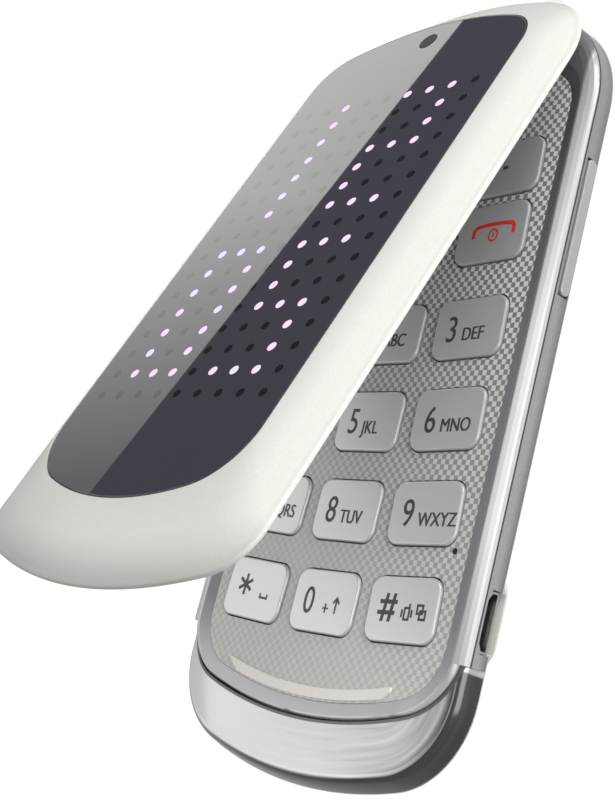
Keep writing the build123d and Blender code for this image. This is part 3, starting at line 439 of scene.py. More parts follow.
RED = plain("ink_red", (0.95, 0.055, 0.035), 0.40, 0.0, 0.2, 0.3, 0.08, 0.0)
GREEN = plain("ink_green", (0.03, 0.40, 0.10), 0.40, 0.0, 0.2, 0.3, 0.08, 0.0)
EYE = plain("camera_eye", (0.035, 0.035, 0.04), 0.45, 0.0, 0.0, 0.5, 0.2, 0.0)
print("plain materials:", LENS.name, "to", EYE.name)

# %% [markdown]
# The window is a mirror-black sheet, and lamps glow behind it. A blotch in the roughness would
# blur what the sheet reflects, so here the roughness stays even and only the colour varies.

# %% Window black and lamps
GLOW, MIRROR_ROUGHNESS = 0.62, 0.012


def mirror_black(name, colour):
    finish = Finish(name, Roughness=MIRROR_ROUGHNESS)
    shade = tuple(c * 0.95 for c in colour)
    finish.set("Base Color", finish.mix(finish.noise(9.0), shade, colour))
    return finish.material


def lit_lamp():
    finish = Finish("lamp_lit", Roughness=0.4, Emission_Strength=GLOW)
    cloud = finish.noise(0.25)
    finish.set("Base Color", finish.mix(cloud, (0.40, 0.32, 0.46), (0.50, 0.42, 0.54)))
    finish.set("Emission Color", finish.mix(cloud, (0.70, 0.52, 0.84), (0.95, 0.82, 1.0)))
    return finish.material


WINDOW_BLACK = mirror_black("window_black", (0.054, 0.050, 0.067))
LAMP_DARK = mirror_black("lamp_dark", (0.008, 0.006, 0.005))
LAMP_LIT = lit_lamp()
print("lamps glow at", GLOW)

# %% [markdown]
# The chin is a clear cap over brushed arcs. Real glass over a real insert is slow and noisy to
# render, so one opaque coat paints what one sees through the cap, its reflections and shade
# painted in too. Its streaks follow two numbers that the mesh will carry: the depth inside the
# outline in millimetres, and the run from the right arm, 0, to the left one, 1.

# %% Chin cap finish
STREAKS_PER_RUN, STREAKS_PER_MM = 3.0, 1.1


def chin_colour(finish, depth, run, streak):
    """Brushed top in painted light, paler on the left, a side in painted shade, and a painted
    highlight on the crest between the two.
    """
    # Painted light and shade: the top is paler to the left and darker on the right arm, the side
    # is in painted shade, darkest from the right arm round the bottom, and the crest has a painted
    # highlight.
    pale = finish.mix(run.ramp(0.40, 0.72), (0.70, 0.70, 0.71), (0.97, 0.97, 0.97))
    shaded_top = finish.mix(run.ramp(0.42, 0.12), pale, (0.26, 0.26, 0.27))
    top = finish.mix(streak, shaded_top, (0.93, 0.93, 0.93))
    low = finish.mix(run.ramp(0.62, 0.86), (0.012, 0.012, 0.014), (0.34, 0.34, 0.35))
    side = finish.mix(streak * 0.25, low, (0.25, 0.25, 0.26))
    inside = (depth - run.ramp(0.42, 0.18) * 0.5).ramp(1.1, 1.9)
    crest_highlight = depth.band(1.35, 1.95, 0.20) * run.ramp(0.10, 0.35)
    colour = finish.mix(crest_highlight, finish.mix(inside, side, top), (0.92, 0.92, 0.92))
    seam = depth.band(1.30, 1.58, 0.08) * run.ramp(0.35, 0.10)
    ends = run.ramp(0.012, 0.008) + run.ramp(0.988, 0.992)
    return finish.mix((seam * 0.6 + ends).clamp(), colour, (0.50, 0.50, 0.50))


def chin_finish():
    finish = Finish("chin_cap", Metallic=0.2, Coat_Weight=0.6, Coat_Roughness=0.13)
    spot = finish.node("Attribute", {"attribute_name": "chin"})[1]
    depth, run, _ = finish.node("SeparateXYZ", None, {0: spot})
    inputs = {0: run * STREAKS_PER_RUN, 1: depth * STREAKS_PER_MM, 2: 0.0}
    track = finish.node("CombineXYZ", None, inputs)[0]
    inputs = {"Vector": track, "Scale": 1.0, "Detail": 6.0, "Roughness": 0.55, "Distortion": 0.4}
    streak = finish.node("TexNoise", None, inputs)[0].ramp(0.30, 0.70) * 0.75
    finish.set("Base Color", chin_colour(finish, depth, run, streak))
    finish.set("Roughness", streak * 0.12 + 0.14)
    return finish.material


CHIN = chin_finish()
print("chin:", CHIN.name)

# %% [markdown]
# Every packed node names its material slot. A finish could be given node by node; a table from
# slot to finish dresses all of them in one loop, and two nodes then get a finish of their own.

# %% Dress the nodes
FINISHES = {
    "silver_plastic": SILVER, "bezel": BEZEL, "plate": PLATE, "warm_silver": WARM,
    "bright_trim": BRIGHT, "clear_cap": CLEAR, "reflector": BRIGHT, "pearl": PEARL,
    "board": BOARD, "dome": FILM, "mat": RUBBER, "steel": STEEL, "shield": STEEL,
    "cell": WRAP, "gold": GOLD, "black": BLACK, "flex": AMBER, "key": KEY,
    "window": WINDOW_BLACK, "lens": LENS, "lamp": LAMP, "magnet": STEEL,
}
SLOT_OF = {part["node"]: part["material_slot"] for part in frame["record"]["subparts"]}
for name, node in NODES.items():
    node.data.materials.clear()
    node.data.materials.append(FINISHES[SLOT_OF[name]])
NODES["volume_key"].data.materials[0] = VOLUME
NODES["lid_inner_cover"].data.materials[0] = COVER
print(len(NODES), "nodes dressed")

# %% [markdown]
# Lid, window and chin share one kind of outline: straight sides, arched ends and round
# corners. It could be a curve object, but numbers are easier to set inward and to blend. All
# rings have the same count of points, so that any two can be skinned.

# %% Outlines
SIDE_POINTS, CORNER_POINTS, END_POINTS = 20, 14, 22


class Plan:
    """Half width, both ends, and the radii of corners and arched ends, in millimetres."""

    def __init__(self, half, low, high, corner_low, corner_high, arc_low, arc_high):
        self.values = (half, low, high, corner_low, corner_high, arc_low, arc_high)

    def inset(self, d):
        half, low, high, *radii = self.values
        return Plan(half - d, low + d, high - d, *(r - d for r in radii))

    def middles(self, end):
        """Middles of the right-hand corner and of the end's arc; end is 1 or -1."""
        half, low, high, corner_low, corner_high, arc_low, arc_high = self.values
        if end > 0:
            tip, corner, arc = high, corner_high, arc_high
        else:
            tip, corner, arc = low, corner_low, arc_low
        corner_x, arc_y = half - corner, tip - end * arc
        corner_y = arc_y + end * sqrt((arc - corner) ** 2 - corner_x ** 2)
        return corner_x, corner_y, arc_y, corner, arc

    def quarter(self, end):
        """From the straight side round the right-hand corner to the middle of the end."""
        corner_x, corner_y, arc_y, corner, arc = self.middles(end)
        lean = atan2((corner_y - arc_y) * end, corner_x)
        turns = [lean * i / CORNER_POINTS for i in range(CORNER_POINTS + 1)]
        points = [(corner_x + corner * cos(t), corner_y + end * corner * sin(t)) for t in turns]
        sweep = pi / 2 - lean
        turns = [sweep * (1 - i / END_POINTS) for i in range(1, END_POINTS + 1)]
        return points + [(arc * sin(t), arc_y + end * arc * cos(t)) for t in turns]

    def ring(self, z):
        low, high = self.quarter(-1), self.quarter(1)
        x, y0, y1 = low[0][0], low[0][1], high[0][1]
        side = [(x, y0 + (y1 - y0) * i / SIDE_POINTS) for i in range(1, SIDE_POINTS)]
        right = low[::-1] + side + high
        left = [(-px, py) for px, py in right[-2:0:-1]]
        return [(px, py, z) for px, py in right + left]

    def depth(self, x, y):
        """How far a point near the low end lies inside the outline."""
        corner_x, corner_y, arc_y, corner, arc = self.middles(-1)
        x = abs(x)
        if y > corner_y:
            return self.values[0] - x
        if x * (arc_y - corner_y) < corner_x * (arc_y - y):
            return arc - hypot(x, y - arc_y)
        return corner - hypot(x - corner_x, y - corner_y)


BASE = Plan(25.85, -53.7, 52.1, 12.3, 14.4, 64.5, 51.0)
CHIN_LINE = Plan(24.6, -45.5, 50.1, 9.0, 13.15, 64.5, 51.0)
LID = Plan(25.9, -47.25, 52.2, 7.0, 14.4, 66.0, 46.0)
WINDOW = Plan(19.63, -37.35, 46.05, 9.2, 6.6, 41.0, 44.0)
print("one ring has", len(LID.ring(0)), "points")

# %% [markdown]
# Two helpers turn points into a piece. It could be made by modifiers, but these surfaces are
# known exactly, so corners and faces are written out and smoothed up to a crease angle. Pieces
# of the lid are drawn with the lid shut and turned open at the end.

# %% Lofts and pieces
CREASE = 35.0
HINGE = mm(0, HINGE_Y, HINGE_Z)
OPEN = Matrix.Translation(HINGE) @ Matrix.Rotation(-radians(REST_ANGLE), 4, "X") @ \
    Matrix.Translation(-HINGE)


def piece(name, corners, faces, body, finish, replaced=(), crease=CREASE):
    mesh = bpy.data.meshes.new(name)
    mesh.from_pydata(corners, [], faces)
    tool = bmesh.new()
    tool.from_mesh(mesh)
    bmesh.ops.recalc_face_normals(tool, faces=tool.faces)
    tool.to_mesh(mesh)
    tool.free()
    mesh.shade_smooth()
    mesh.set_sharp_from_angle(angle=radians(crease))
    mesh.materials.append(finish)
    if body == "lid":
        mesh.transform(OPEN)
    made = put(name, mesh)
    if replaced:
        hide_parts(*replaced)
    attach(made, body)
    return made


def loft(name, rings, body, finish, replaced, closed=True, loop=False, lids=False,
         crease=CREASE):
    """Skin through rings; loop joins the last ring to the first."""
    count = len(rings[0])
    corners = [tuple(c * MM for c in point) for ring in rings for point in ring]
    faces = []
    for row in range(len(rings) if loop else len(rings) - 1):
        here, there = row * count, (row + 1) % len(rings) * count
        for i in range(count if closed else count - 1):
            j = (i + 1) % count
            faces.append((here + i, here + j, there + j, there + i))
    if lids:
        faces.append(tuple(reversed(range(count))))
        faces.append(tuple(range(len(corners) - count, len(corners))))
    return piece(name, corners, faces, body, finish, replaced, crease)


print("the lid is open by", REST_ANGLE, "degrees")

# %% [markdown]
# The back is round like a pebble, so from above it hides under the side wall. A lattice could
# bend the plain solids; it is simpler to move each point of a copy: the lower it lies, the more
# it is drawn in. Round the charging socket the side stays fuller.

# %% Rounded back
SEAM_Z, BACK_DRAW, CHIN_DRAW, DRAW_CURVE = 6.2, 0.158, 0.060, 1.5
STIFF_FROM_Y, STIFF_LENGTH, STIFF_SHARE = 40.0, 12.0, 0.7
BULGE_REACH, BULGE_SHARE = 7.5, 0.5
BACK_PIECES = {"rear_housing": "base", "base_screws": "base", "rear_end_cap": "base",
               "headset_jack": "base", "battery_cover": "battery_cover"}
usb_low, usb_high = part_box("usb_socket")
USB_Y = (usb_low[1] + usb_high[1]) / 2 / MM


def within(value):
    return min(max(value, 0.0), 1.0)


def drawn_in(point):
    x, y, z = point
    low = 1 - within(z / (SEAM_Z * MM)) ** DRAW_CURVE
    hinge = within((y / MM - STIFF_FROM_Y) / STIFF_LENGTH)
    bulge = max(1 - ((y / MM - USB_Y) / BULGE_REACH) ** 2, 0.0) if x > 0 else 0.0
    draw = BACK_DRAW * low * (1 - STIFF_SHARE * hinge) * (1 - BULGE_SHARE * bulge)
    return x * (1 - draw), y * (1 - CHIN_DRAW * low) if y < 0 else y, z


def moved_copy(node, ending, body, move):
    """A copy of a node with moved points, in the node's place."""
    mesh = NODES[node].data.copy()
    for vertex in mesh.vertices:
        vertex.co = move(vertex.co)
    made = put(node + ending, mesh)
    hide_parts(node)
    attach(made, body)


for name, body in BACK_PIECES.items():
    moved_copy(name, "_round", body, drawn_in)
print(len(BACK_PIECES), "pieces of the back drawn in")

# %% [markdown]
# The lid's fine skin is a little lower than its solid, so screw heads and the tops of the hinge
# knuckles would break through. They could be cut, but that needs a tool body for each. In a
# copy, each point is turned shut, lowered and turned open again.

# %% Trimmed lid pieces
SCREW_SHARE, KNUCKLE_TOP, KNUCKLE_Y = 0.8, 10.55 * MM, 47.9 * MM
SHUT = OPEN.inverted()
SCREW_FOOT = min((SHUT @ vertex.co).z for vertex in NODES["lid_screws"].data.vertices)


def shorter_screw(point):
    spot = SHUT @ point
    spot.z = SCREW_FOOT + (spot.z - SCREW_FOOT) * SCREW_SHARE
    return OPEN @ spot


def lower_knuckle(point):
    spot = SHUT @ point
    if spot.y > KNUCKLE_Y:
        spot.z = min(spot.z, KNUCKLE_TOP)
    return OPEN @ spot


moved_copy("lid_screws", "_trimmed", "lid", shorter_screw)
moved_copy("lid_inner_cover", "_trimmed", "lid", lower_knuckle)
print("screws keep", SCREW_SHARE, "of their height")

# %% [markdown]
# The lid's border falls from the window to an upright rim: almost straight at the sides, late
# and like a pillow at the free end. A subdivided cage would round it, but not to a known line.
# So the outline itself is blended from window to rim, and each end has its own speed.

# %% Lid shell
RIM_Z, RIM_WALL, SHELL_SKIN, INNER_INSET = 10.1, 0.35, 1.1, 0.83
SIDE_FALL, HINGE_FALL, FREE_FALL = 0.86, 0.9, 0.45
ROOF_STEPS, ROOF_SHARE, INNER_STEPS, INNER_START = 26, 0.9, 8, 0.05


def share(fall, down):
    bend = 1 - fall
    return (sqrt(fall * fall + 4 * bend * down) - fall) / (2 * bend)


def border(down):
    """The outline that the border has reached at a share of its drop."""
    side, free, back = (share(fall, down) for fall in (SIDE_FALL, FREE_FALL, HINGE_FALL))
    shares = (side, free, back, side, side, free, back)
    return Plan(*(w + (v - w) * t for v, w, t in zip(LID.values, WINDOW.values, shares)))


def roof_rings(rim):
    """From just above the rim up to the window's edge."""
    rings = []
    for i in range(ROOF_STEPS + 1):
        down = ROOF_SHARE * (1 - i / ROOF_STEPS)
        sink = 0.02 if i == ROOF_STEPS else 0
        rings.append(border(down).ring(THICKNESS - (THICKNESS - rim) * down - sink))
    return rings


def inner_rings(rim):
    """Back down, one skin lower."""
    rings, drop = [], THICKNESS - SHELL_SKIN - rim
    for i in range(INNER_STEPS + 1):
        down = INNER_START + (1 - INNER_START) * i / INNER_STEPS
        rings.append(border(down).inset(INNER_INSET).ring(THICKNESS - SHELL_SKIN - drop * down))
    return rings


def lid_shell():
    """Up the rim, over the roof, into the window's seat and back down inside."""
    rim = RIM_Z + RIM_WALL
    edge = ((0.45, RIM_Z), (0.12, RIM_Z), (0.03, RIM_Z + 0.05), (0, RIM_Z + 0.15), (0, rim),
            (0.05, rim + 0.13), (0.17, rim + 0.24))
    pocket = ((0.05, 0.10), (0.06, 0.8), (1.2, 0.8), (1.2, 1.2))
    rings = [LID.inset(inset).ring(z) for inset, z in edge]
    rings += roof_rings(rim)
    rings += [WINDOW.inset(inset).ring(THICKNESS - below) for inset, below in pocket]
    rings += inner_rings(rim)
    rings.append(LID.inset(INNER_INSET).ring(RIM_Z))
    return loft("lid_skin", rings, "lid", LID_PEARL, ("lid_outer_shell",), loop=True)


print("lid skin has", len(lid_shell().data.polygons), "faces")

# %% [markdown]
# The window is one flat black sheet with a softly broken edge. A bevel could round it; four
# rings do it exactly and keep the wide face flat, because a bend in it would bend what it
# reflects.

# %% Window sheet
SHEET_RINGS = ((0.16, 0.78), (0.16, 0.14), (0.20, 0.05), (0.30, 0.0))
SHEET_CREASE = 12.0

sheet = loft("window_sheet",
             [WINDOW.inset(inset).ring(THICKNESS - below) for inset, below in SHEET_RINGS],
             "lid", WINDOW_BLACK, ("lid_window",), lids=True, crease=SHEET_CREASE)
print("window sheet has", len(sheet.data.polygons), "faces")

# %% [markdown]
# Behind the sheet stand nine by sixteen round lamps, and a part of them spells the hour in tall
# narrow digits. They could shine through real glass; as discs a hair above the sheet they look
# the same and stay clean. The digits are rows of ones and zeros.

# %% Clock lamps and camera
LAMP_PITCH_X, LAMP_PITCH_Y, LAMP_R, DARK_SHARE = 3.951, 3.482, 0.665, 0.94
LAMP_ROWS, LAMP_COLUMNS, LAMP_TOP_Y, LAMP_SHIFT = 16, 9, 30.47, 3
LIT_LIFT, DARK_LIFT, EYE_LIFT, EYE_RING_LIFT = 0.012, 0.008, 0.010, 0.016
CAMERA_SPOT, CAMERA_R, EYE_SHARE = (0.1, 42.43), 1.45, 0.86
DIGITS = {"0": "111 101 101 101 101 101 111", "1": "1 1 1 1 1 1 1",
          "2": "111 001 001 111 100 100 111", "5": "111 100 100 111 001 001 111"}
CLOCK = (("5", 0, 0), ("1", 5, 0), ("2", 0, 8), ("0", 4, 8))


def lit_lamps():
    """Column and row of each lit lamp."""
    lit = set()
    for digit, first, top in CLOCK:
        for row, line in enumerate(DIGITS[digit].split()):
            lit |= {(first + i, top + row) for i, mark in enumerate(line) if mark == "1"}
    return lit


def discs(name, spots, radius, z, body, finish, inner=0.0, points=28):
    """Flat discs in one mesh, or rings where inner is given."""
    corners, faces = [], []
    turns = [2 * pi * i / points for i in range(points)]
    for x, y in spots:
        start = len(corners)
        corners += [(x + radius * cos(t), y + radius * sin(t), z) for t in turns]
        if inner:
            corners += [(x + inner * cos(t), y + inner * sin(t), z) for t in turns]
            faces += [(start + i, start + (i + 1) % points, start + points + (i + 1) % points,
                       start + points + i) for i in range(points)]
        else:
            faces.append(tuple(range(start, start + points)))
    corners = [tuple(c * MM for c in corner) for corner in corners]
    return piece(name, corners, faces, body, finish)


lit = lit_lamps()
spots = {(u, r): (LAMP_PITCH_X * (LAMP_SHIFT - u), LAMP_TOP_Y - LAMP_PITCH_Y * r)
         for u in range(-1, LAMP_COLUMNS - 1) for r in range(LAMP_ROWS)}
lit_spots = [spots[key] for key in spots if key in lit]
dark_spots = [spots[key] for key in spots if key not in lit]
discs("lamps_lit", lit_spots, LAMP_R, THICKNESS + LIT_LIFT, "lid", LAMP_LIT)
discs("lamps_dark", dark_spots, LAMP_R * DARK_SHARE, THICKNESS + DARK_LIFT, "lid", LAMP_DARK)
discs("camera_glass", [CAMERA_SPOT], CAMERA_R, THICKNESS + EYE_LIFT, "lid", EYE)
discs("camera_ring", [CAMERA_SPOT], CAMERA_R, THICKNESS + EYE_RING_LIFT, "lid", BLACK,
      CAMERA_R * EYE_SHARE)
print(len(lit), "lamps are lit")

# %% [markdown]
# The chin cap runs in a U from one side wall to the other. Its inner and outer outline could be
# joined as they are, but their points would not face each other. So each low end is cut off at
# the arms and walked in even steps.

# %% U-shaped paths
CHIN_ARM_Y = -36.0


def between(a, b, t):
    return a[0] + (b[0] - a[0]) * t, a[1] + (b[1] - a[1]) * t


def cut_at_arms(path):
    """The part of a path that lies below the ends of the arms."""
    kept = []
    for (x0, y0), (x1, y1) in zip(path, path[1:]):
        if (y0 > CHIN_ARM_Y) != (y1 > CHIN_ARM_Y):
            t = (CHIN_ARM_Y - y0) / (y1 - y0)
            kept.append((x0 + (x1 - x0) * t, CHIN_ARM_Y))
        if y1 <= CHIN_ARM_Y:
            kept.append((x1, y1))
    return kept


def u_shape(plan, count):
    """Points at even steps round the low end, from the right arm to the left one."""
    right = plan.quarter(-1)
    if right[0][1] <= CHIN_ARM_Y:
        right = [(plan.values[0], 0.0)] + right
    path = cut_at_arms(right + [(-x, y) for x, y in right[-2::-1]])
    run = [0.0]
    for a, b in zip(path, path[1:]):
        run.append(run[-1] + hypot(b[0] - a[0], b[1] - a[1]))
    points, k = [], 0
    for i in range(count + 1):
        want = run[-1] * i / count
        while k < len(run) - 2 and run[k + 1] < want:
            k += 1
        t = (want - run[k]) / max(run[k + 1] - run[k], 1e-9)
        points.append(between(path[k], path[k + 1], t))
    return points


print("the middle of the U is at y =", round(u_shape(BASE, 2)[1][1], 1), "mm")

# %% [markdown]
# Across the U, the cap rises steeply over a bevel and then gently to the bezel. A bevelled box
# can't follow both, so the height is a formula of the depth. Depth and run are kept at each
# point for the streaks in the finish.

# %% Chin cap
CHIN_FOOT, CHIN_TOP, CHIN_CREST, CHIN_BEVEL, CHIN_REACH = 6.26, 9.75, 9.0, 1.7, 7.5
BEVEL_CURVE, RISE_CURVE = 2.6, 2.15
CHIN_COLUMNS, CHIN_ROWS, ROW_CURVE = 150, 34, 1.9
CHIN_SKIN, CHIN_OVERLAP, FOOT_SHARE, CHIN_CREASE = 1.2, 0.5, 0.12, 50.0


def chin_height(depth):
    if depth < CHIN_BEVEL:
        fall = (1 - max(depth, 0) / CHIN_BEVEL) ** BEVEL_CURVE
        return CHIN_CREST - (CHIN_CREST - CHIN_FOOT) * fall
    t = min((depth - CHIN_BEVEL) / CHIN_REACH, 1.0)
    return CHIN_CREST + (CHIN_TOP - CHIN_CREST) * (1 - (1 - t) ** RISE_CURVE)


def chin_cap():
    outer = u_shape(BASE, CHIN_COLUMNS)
    inner = u_shape(CHIN_LINE.inset(-CHIN_OVERLAP), CHIN_COLUMNS)
    rows, depths = [], []
    for k in range(CHIN_ROWS + 1):
        t = (k / CHIN_ROWS) ** ROW_CURVE
        flat = [between(a, b, t) for a, b in zip(outer, inner)]
        depths.append([max(BASE.depth(x, y), 0.0) for x, y in flat])
        rows.append([(x, y, chin_height(d)) for (x, y), d in zip(flat, depths[-1])])
    rows.append([(x, y, z - CHIN_SKIN) for x, y, z in rows[-1]])
    rows.append([(*between(a, b, FOOT_SHARE), CHIN_FOOT) for a, b in zip(outer, inner)])
    depths += [depths[-1], depths[0]]
    cap = loft("chin_skin", rows, "base", CHIN, ("chin_lens",), closed=False, loop=True,
               crease=CHIN_CREASE)
    attribute = cap.data.attributes.new("chin", "FLOAT_VECTOR", "POINT")
    for i, value in enumerate(attribute.data):
        row, column = divmod(i, CHIN_COLUMNS + 1)
        value.vector = (depths[row][column], column / CHIN_COLUMNS, 0.0)
    return cap


print("chin cap has", len(chin_cap().data.polygons), "faces")

# %% [markdown]
# A fine dark line marks where bezel and cap meet. The solid trim fits the plain cap; for this
# one it is drawn again, as a flat bar with the cap's own height formula.

# %% Trim line
TRIM_SECTION = ((-0.55, 0.03), (-0.20, 0.03), (-0.20, -0.30), (-0.55, -0.30))


def trim_line():
    rows = []
    for inset, lift in TRIM_SECTION:
        path = u_shape(CHIN_LINE.inset(inset), CHIN_COLUMNS)
        rows.append([(x, y, chin_height(max(BASE.depth(x, y), 0.0)) + lift) for x, y in path])
    return loft("chin_line", rows, "base", TRIM, ("chin_trim",), closed=False, loop=True)


print("trim line has", len(trim_line().data.polygons), "faces")

# %% [markdown]
# Each key carries a digit and small letters. An image would go soft in a close-up, while text
# objects stay sharp. Pad printing is heavier than the font, so every word is set twice, a hair
# apart. The rows of keys bend like a smile, and so do the words.

# %% Words
CAP_TOP, INK_LIFT, SECOND_LIFT = 9.75, 0.012, 0.3
COLUMN_PITCH, ROW_PITCH, FIRST_ROW_Y, CALL_ROW_Y, SOFT_ROW_Y = 13.9, 12.12, 5.32, 18.32, 27.4
SMILE = 0.00185
TEXT = {"key_1": "1", "key_2": "2ABC", "key_3": "3DEF", "key_4": "4GHI", "key_5": "5JKL",
        "key_6": "6MNO", "key_7": "7PQRS", "key_8": "8TUV", "key_9": "9WXYZ", "key_star": "",
        "key_0": "0+", "key_hash": ""}
DIGIT_SIZE, LETTER_SIZE, DIGIT_NARROW, LETTER_NARROW = 5.0, 2.55, 0.82, 0.83
DIGIT_X, LETTERS_X, PLUS_X, BASELINE = -3.7, -0.9, 0.0, -1.75
DIGIT_STROKE, LETTER_STROKE = 0.012, 0.048


def key_matrix(column, row_y, x=0.0, y=0.0):
    """On a key, turned along the smile, at x and y from its middle."""
    key_x = column * COLUMN_PITCH
    key_at = mm(key_x, row_y + SMILE * key_x * key_x, CAP_TOP + INK_LIFT)
    turned = Matrix.Rotation(atan2(2 * SMILE * key_x, 1.0), 4, "Z")
    return Matrix.Translation(key_at) @ turned @ Matrix.Translation(mm(x, y, 0))


def number_key(name):
    """Column, -1 to 1, and row place of a number key."""
    row, column = divmod(list(TEXT).index(name), 3)
    return column - 1, FIRST_ROW_Y - ROW_PITCH * row


def word(name, text, size, narrow, spot, body):
    stroke = size * (LETTER_STROKE if len(text) > 1 or text == "+" else DIGIT_STROKE)
    for copy in (0, 1):
        aside = Matrix.Translation(mm(stroke * copy, 0, INK_LIFT * SECOND_LIFT * copy))
        curve = bpy.data.curves.new(name + "_b" * copy, "FONT")
        curve.body, curve.size = text, size * MM
        curve.materials.append(INK)
        made = put(name + "_b" * copy, curve)
        made.matrix_world = spot @ aside @ Matrix.Diagonal((narrow, 1, 1, 1))
        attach(made, body)


for name, text in TEXT.items():
    if text:
        word(name + "_digit", text[0], DIGIT_SIZE, DIGIT_NARROW,
             key_matrix(*number_key(name), DIGIT_X, BASELINE), name)
    if text[1:]:
        x = PLUS_X if text == "0+" else LETTERS_X
        word(name + "_letters", text[1:], LETTER_SIZE, LETTER_NARROW,
             key_matrix(*number_key(name), x, BASELINE), name)
print("words printed on", sum(map(bool, TEXT.values())), "keys")

# %% [markdown]
# The signs are in no font: star, hash, arrow, space, handset and small frames. They could be
# curves with a bevel, but a printed stroke is flat, so it is a ribbon of even width. Each
# stroke lies a hair above the last, so that crossings stay clean.

# %% Ribbons
STROKE_LIFT, MITRE_LIMIT = 0.003, 0.3


def side_ways(before, here, after):
    """Unit vectors to the left, before and after a point."""
    ways = []
    for a, b in ((before, here), (here, after)):
        if a and b:
            away = hypot(b[0] - a[0], b[1] - a[1])
            ways.append((-(b[1] - a[1]) / away, (b[0] - a[0]) / away))
    return ways


def ribbon(name, paths, width, spot, body, finish):
    """Flat strokes of even width along paths, with mitred bends."""
    corners, faces = [], []
    for layer, path in enumerate(paths):
        start, loop, lift = len(corners), path[0] == path[-1], layer * STROKE_LIFT
        for i, (x, y) in enumerate(path):
            before = path[i - 1] if i else (path[-2] if loop else None)
            after = path[i + 1] if i + 1 < len(path) else (path[1] if loop else None)
            ways = side_ways(before, (x, y), after)
            nx, ny = (sum(way[axis] for way in ways) / len(ways) for axis in (0, 1))
            scale = width / 2 / max(nx * nx + ny * ny, MITRE_LIMIT)
            corners += [(x + nx * scale, y + ny * scale, lift),
                        (x - nx * scale, y - ny * scale, lift)]
        faces += [(start + 2 * i, start + 2 * i + 1, start + 2 * i + 3, start + 2 * i + 2)
                  for i in range(len(path) - 1)]
    corners = [spot @ (Vector(corner) * MM) for corner in corners]
    return piece(name, corners, faces, body, finish)


def ellipse(x, y, rx, ry, points=20):
    turns = [2 * pi * i / points for i in range(points)]
    return [(x + rx * cos(t), y + ry * sin(t)) for t in turns] + [(x + rx, y)]


def box_path(x, y, w, h):
    return [(x - w / 2, y - h / 2), (x + w / 2, y - h / 2), (x + w / 2, y + h / 2),
            (x - w / 2, y + h / 2), (x - w / 2, y - h / 2)]


print("strokes lie", STROKE_LIFT, "mm apart")

# %% [markdown]
# Each sign could be traced finely, but it needs only a few points, in millimetres from its
# key's middle. The end key's handset is red with a small power sign, the send key's green.

# %% Signs
STAR_X, STAR_Y, STAR_ARM, STAR_TURNS = -2.0, 0.4, 1.45, (pi / 2, pi / 6, -pi / 6)
STAR = [[(STAR_X + STAR_ARM * cos(t), STAR_Y + STAR_ARM * sin(t)),
         (STAR_X - STAR_ARM * cos(t), STAR_Y - STAR_ARM * sin(t))] for t in STAR_TURNS]
HASH = [[(-3.05, -1.6), (-2.55, 1.9)], [(-1.85, -1.6), (-1.35, 1.9)],
        [(-3.7, 0.85), (-0.8, 0.85)], [(-3.9, -0.5), (-1.0, -0.5)]]
SIGNS = {
    "key_1": [ellipse(-0.6, -0.7, 0.45, 0.45), ellipse(1.1, -0.7, 0.45, 0.45),
              [(-0.6, -1.15), (1.1, -1.15)]],
    "key_star": [[(1.5, -0.4), (1.5, -0.95), (2.9, -0.95), (2.9, -0.4)]],
    "key_0": [[(2.5, -1.4), (2.5, 0.6)], [(1.95, -0.1), (2.5, 0.6), (3.05, -0.1)]],
    "key_hash": [box_path(1.0, -0.5, 0.75, 1.4), [(1.37, 0.2), (1.37, 0.75)],
                 [(0.2, -0.95), (0.2, 0.0)], [(1.8, -0.95), (1.8, 0.0)],
                 box_path(3.1, 0.1, 0.9, 1.0), box_path(3.6, -0.6, 0.9, 1.0)],
}
HANDSET = [(-3.3, -0.9), (-3.3, 0.1), (-2.9, 0.6), (-1.5, 0.75), (0, 0.8), (1.5, 0.75),
           (2.9, 0.6), (3.3, 0.1), (3.3, -0.9)]
POWER = [ellipse(0, -0.75, 0.7, 0.8), [(0, -1.1), (0, -0.4)]]
DASH = [[(-0.45, 0), (0.45, 0)]]
SIGN_STROKE, STAR_STROKE, HASH_STROKE, HANDSET_STROKE, POWER_STROKE, DASH_STROKE = \
    0.30, 0.46, 0.52, 0.55, 0.28, 0.45
END_AT = key_matrix(1, CALL_ROW_Y, 0.5, 0.3)

for name, paths in SIGNS.items():
    ribbon(name + "_sign", paths, SIGN_STROKE, key_matrix(*number_key(name)), name, INK)
for name, paths, stroke in (("key_star", STAR, STAR_STROKE), ("key_hash", HASH, HASH_STROKE)):
    ribbon(name + "_mark", paths, stroke, key_matrix(*number_key(name)), name, INK)
ribbon("end_sign", [HANDSET], HANDSET_STROKE, END_AT, "end_key", RED)
ribbon("end_power", POWER, POWER_STROKE, END_AT, "end_key", RED)
ribbon("send_sign", [HANDSET], HANDSET_STROKE, key_matrix(-1, CALL_ROW_Y, 0, -0.1), "send_key",
       GREEN)
for side, name in ((-1, "soft_key_left"), (1, "soft_key_right")):
    ribbon(name + "_sign", DASH, DASH_STROKE, key_matrix(side, SOFT_ROW_Y), name, INK)
print("signs printed on", len(SIGNS), "number keys")

# %% [markdown]
# The microphone listens through a small round hole in the plate. To look black, the hole would
# need a deep, unlit pocket. A black disc in its mouth is painted shade that looks the same.

# %% Microphone mouth
MOUTH_R, MOUTH_Z = 0.40, 9.31
mic_low, mic_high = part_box("microphone")
MIC_MOUTH = ((mic_low[0] + mic_high[0]) / 2 / MM, (mic_low[1] + mic_high[1]) / 2 / MM)
# Painted shade: a black disc for the dark inside the hole.
discs("mic_mouth", [MIC_MOUTH], MOUTH_R, MOUTH_Z, "base", BLACK)
print("microphone mouth at", [round(v, 2) for v in MIC_MOUTH])

# %% [markdown]
# The phone lies on white paper. A bare white sheet would grey toward its far end, so rays from
# the camera meet a glow instead, while the paper still takes part in the light.

